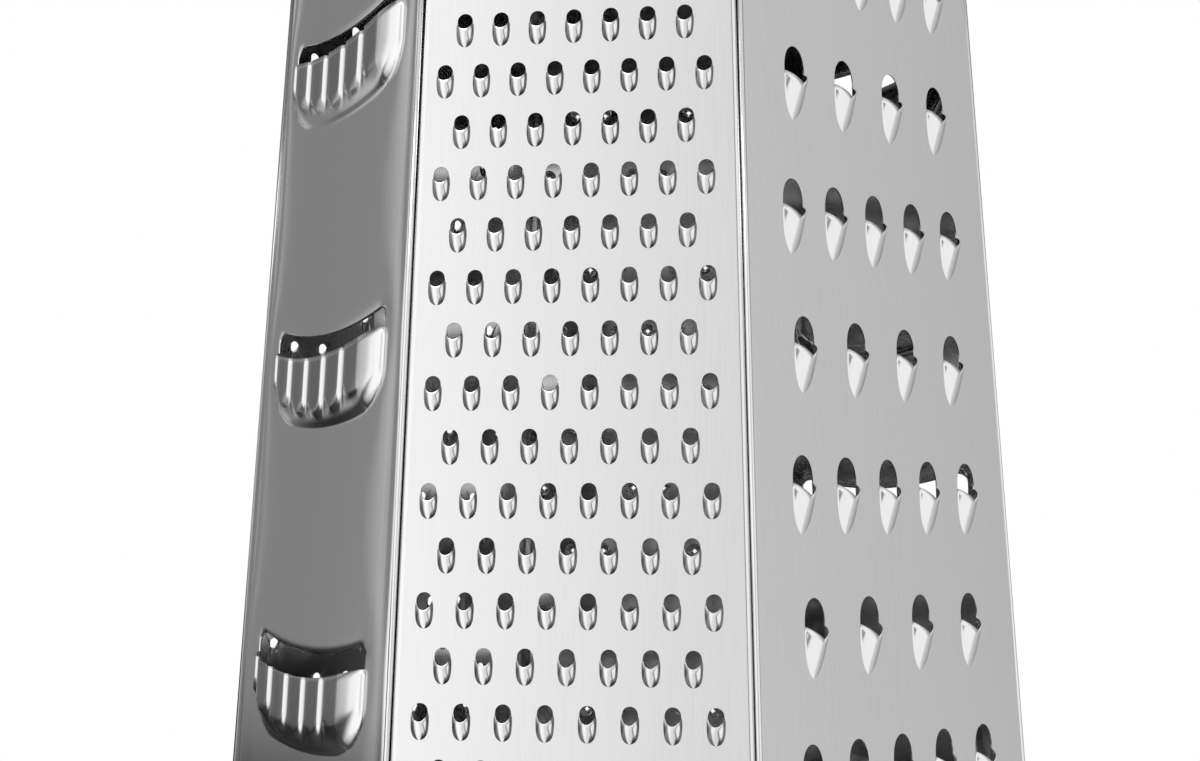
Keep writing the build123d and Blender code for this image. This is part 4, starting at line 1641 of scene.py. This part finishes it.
def solid_boxes(node: Thing) -> list:
    """The box round each separate solid of a CAD node.

    Args:
        node: the node.

    Returns:
        For each solid its low and its high corner, in millimetres, in the order of the low corners.
    """
    work = bmesh.new()
    work.from_mesh(node.data)
    bmesh.ops.remove_doubles(work, verts=work.verts, dist=1e-6)
    left, boxes = set(work.verts), []
    while left:
        wave, found = [left.pop()], []
        while wave:
            vert = wave.pop()
            found.append(node.matrix_world @ vert.co / MM)
            near = {edge.other_vert(vert) for edge in vert.link_edges} & left
            left -= near
            wave += near
        boxes.append(tuple(Vector(end(p[i] for p in found) for i in range(3)) for end in (min, max)))
    work.free()
    return sorted(boxes, key=lambda box: [round(c, 2) for c in box[0]])


@dataclass(frozen=True)
class Rivet:
    """A rivet of the handle: a domed head with a set mark, its shank, and the head that was formed under it.

    Args:
        head: the head's radius.
        rise: the head's height.
        shank: the shank's radius.
        mark: radius of the mark that the setting tool left.
        around: points round it.
    """

    head: float = 3.0
    rise: float = 1.3
    shank: float = 1.6
    mark: float = 0.9
    around: int = 40

    def profile(self, top: float, low: float) -> list:
        """The rivet's section.

        Args:
            top: height of its upper end.
            low: height of its lower end.

        Returns:
            Its points as (radius, height), from the top of its axis to the bottom of its axis.
        """
        seat, base, reach, rim = top - self.rise, low + self.rise, self.mark + 0.2, self.head - 0.08
        points = [(0, top - 0.3), (self.mark * 0.7, top - 0.28), (self.mark, top - 0.06), (reach, top)]
        for a in (math.pi / 2 * n / 8 for n in range(1, 9)):
            points.append((reach + (self.head - reach) * math.sin(a), seat + 0.25 + (self.rise - 0.25) * math.cos(a)))
        points += [(self.head, seat + 0.08), (rim, seat), (self.shank, seat)]
        points += [(self.shank, base), (rim, base), (self.head, base - 0.08)]
        for a in (math.pi / 2 * n / 6 for n in range(1, 7)):
            points.append((self.head * math.cos(a), base - 0.2 - (self.rise - 0.2) * math.sin(a)))
        return points

    def mesh(self, size: Vector) -> Mesh:
        """The rivet's mesh, about the middle of its box.

        Args:
            size: the size of the CAD rivet's box.

        Returns:
            The mesh.
        """
        skin = Skin()
        section, angles = self.profile(size.z / 2, -size.z / 2), circle(self.around)
        rings = [[(r * math.cos(a), r * math.sin(a), z) for a in angles] for r, z in section]
        for one, two in zip(rings, rings[1:]):
            for n in range(self.around):
                m = (n + 1) % self.around
                skin.add([one[n], two[n], two[m], one[m]])
        mesh = make_mesh("rivet", skin.verts, skin.faces)
        smooth(mesh)
        mesh.set_sharp_from_angle(angle=math.radians(35))
        return mesh


@dataclass(frozen=True)
class Pad:
    """A rubber pad under the base, with bevelled edges and a row of grip grooves across its sole.

    Args:
        length: its length.
        width: its width.
        bevel: width of its bevels.
        groove: depth of the grooves.
        grooves: number of grooves.
        margin: from its ends to the grooves' field.
    """

    length: float = 22.0
    width: float = 3.4
    bevel: float = 0.25
    groove: float = 0.35
    grooves: int = 9
    margin: float = 1.5

    def mesh(self, size: Vector) -> Mesh:
        """The pad's mesh, about the middle of its box.

        Args:
            size: the size of the CAD pad's box.

        Returns:
            The mesh.
        """
        half, side, top, low = self.length / 2, self.width / 2, size.z / 2, -size.z / 2
        step = (self.length - 2 * self.margin) / self.grooves
        sections = [(-half, 1.0, 0.0), (-half + self.bevel, 0.0, 0.0)]
        for n in range(self.grooves):
            middle = -half + self.margin + (n + 0.5) * step
            sections += [(middle + x, 0.0, cut) for x, cut in ((-0.35, 0.0), (-0.2, 1.0), (0.2, 1.0), (0.35, 0.0))]
        sections += [(half - self.bevel, 0.0, 0.0), (half, 1.0, 0.0)]
        rings = []
        for x, ended, cut in sections:
            inset = self.bevel * ended
            sole = low + self.groove * cut + inset
            across = [
                (side - inset, top - inset), (side - inset, sole + self.bevel * (1 - ended)),
                (side - self.bevel - inset * 0.5, sole),
            ]
            rings.append([(x, -y, z) for y, z in across] + [(x, y, z) for y, z in across[::-1]])
        skin = Skin()
        for one, two in zip(rings, rings[1:]):
            for n in range(6):
                m = (n + 1) % 6
                skin.add([one[n], one[m], two[m], two[n]])
        skin.add(rings[0][::-1])
        skin.add(rings[-1])
        return make_mesh("pad", skin.verts, skin.faces)


@dataclass(frozen=True)
class SmallParts:
    """Small parts of one kind, each set where the CAD node has one.

    Args:
        name: the piece's name.
        node: the CAD node that they stand for.
        slot: the record's material slot.
        shape: the shape of one part.
        turn: how far each may be turned from its heading, in radians.
        seed: seed of those turns.
        along_side: whether a part lies along the nearest side of the body.
    """

    name: str
    node: str
    slot: str
    shape: Rivet | Pad
    turn: float
    seed: int
    along_side: bool = False

    def heading(self, spot: Vector) -> float:
        """How far the part at a spot is turned from +x, in radians.

        Args:
            spot: the part's middle.

        Returns:
            The turn of the nearest side of the body, or none.
        """
        if not self.along_side:
            return 0.0
        dx, dy = min(map(Face, range(6)), key=lambda face: math.dist(np.mean(face.ends(), axis=0), spot.xy)).along()
        return math.atan2(dy, dx)

    def build(self, tree: Tree, cad: Thing, material: Material) -> Thing:
        """Makes the parts.

        Args:
            tree: the nodes that set them out.
            cad: the CAD node's object.
            material: their finish.

        Returns:
            The piece.
        """
        boxes = solid_boxes(cad)
        middles = [(low + high) / 2 for low, high in boxes]
        spots = make_mesh("places", middles, [])
        headings = [self.heading(middle) for middle in middles]
        spots.attributes.new("heading", "FLOAT", "POINT").data.foreach_set("value", headings)
        part = new_object("part", self.shape.mesh(boxes[0][1] - boxes[0][0]))
        places = new_object("places", spots)
        give_nodes(places, tree, {"Part": part, "Turn": self.turn, "Seed": self.seed, "Material": material})
        mesh = baked(places, self.name)
        drop(places, part)
        return finished(self.name, mesh, material)


def small_parts() -> list:
    """The small parts that repeat."""
    return [
        SmallParts("rivets", "handle_rivets", "fastener_steel", Rivet(), turn=0.6, seed=21),
        SmallParts("pads", "base_pads", "pad_rubber", Pad(), turn=0.0, seed=22, along_side=True),
    ]


def dress(piece: Thing, node: str) -> None:
    """Lets a piece stand for a CAD node.

    Args:
        piece: the piece.
        node: the node.
    """
    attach(piece, "root")
    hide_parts(node)
    LOG.info("piece %s: %d faces", piece.name, len(piece.data.polygons))


def main() -> None:
    """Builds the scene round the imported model."""
    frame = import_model()
    Camera().build()
    Studio().build()
    finish = finishes()
    for name, node in frame["nodes"].items():
        slot = SLOTS.get(name, "panel_steel")
        node.data.materials.clear()
        node.data.materials.append(finish[slot])
        LOG.info("node %s: %s", name, slot)
    tree = spreading_tree()
    for panel in toothed_panels():
        dress(panel.build(tree, finish["panel_steel"]), panel.node)
    for panel in slicer_panels():
        dress(panel.build(finish["panel_steel"]), panel.node)
    setting = setting_tree()
    for parts in small_parts():
        piece = parts.build(setting, frame["nodes"][parts.node], finish[parts.slot])
        dress(piece, parts.node)


if __name__ == "__main__":
    logging.basicConfig(level=logging.INFO, format="%(message)s")
    main()
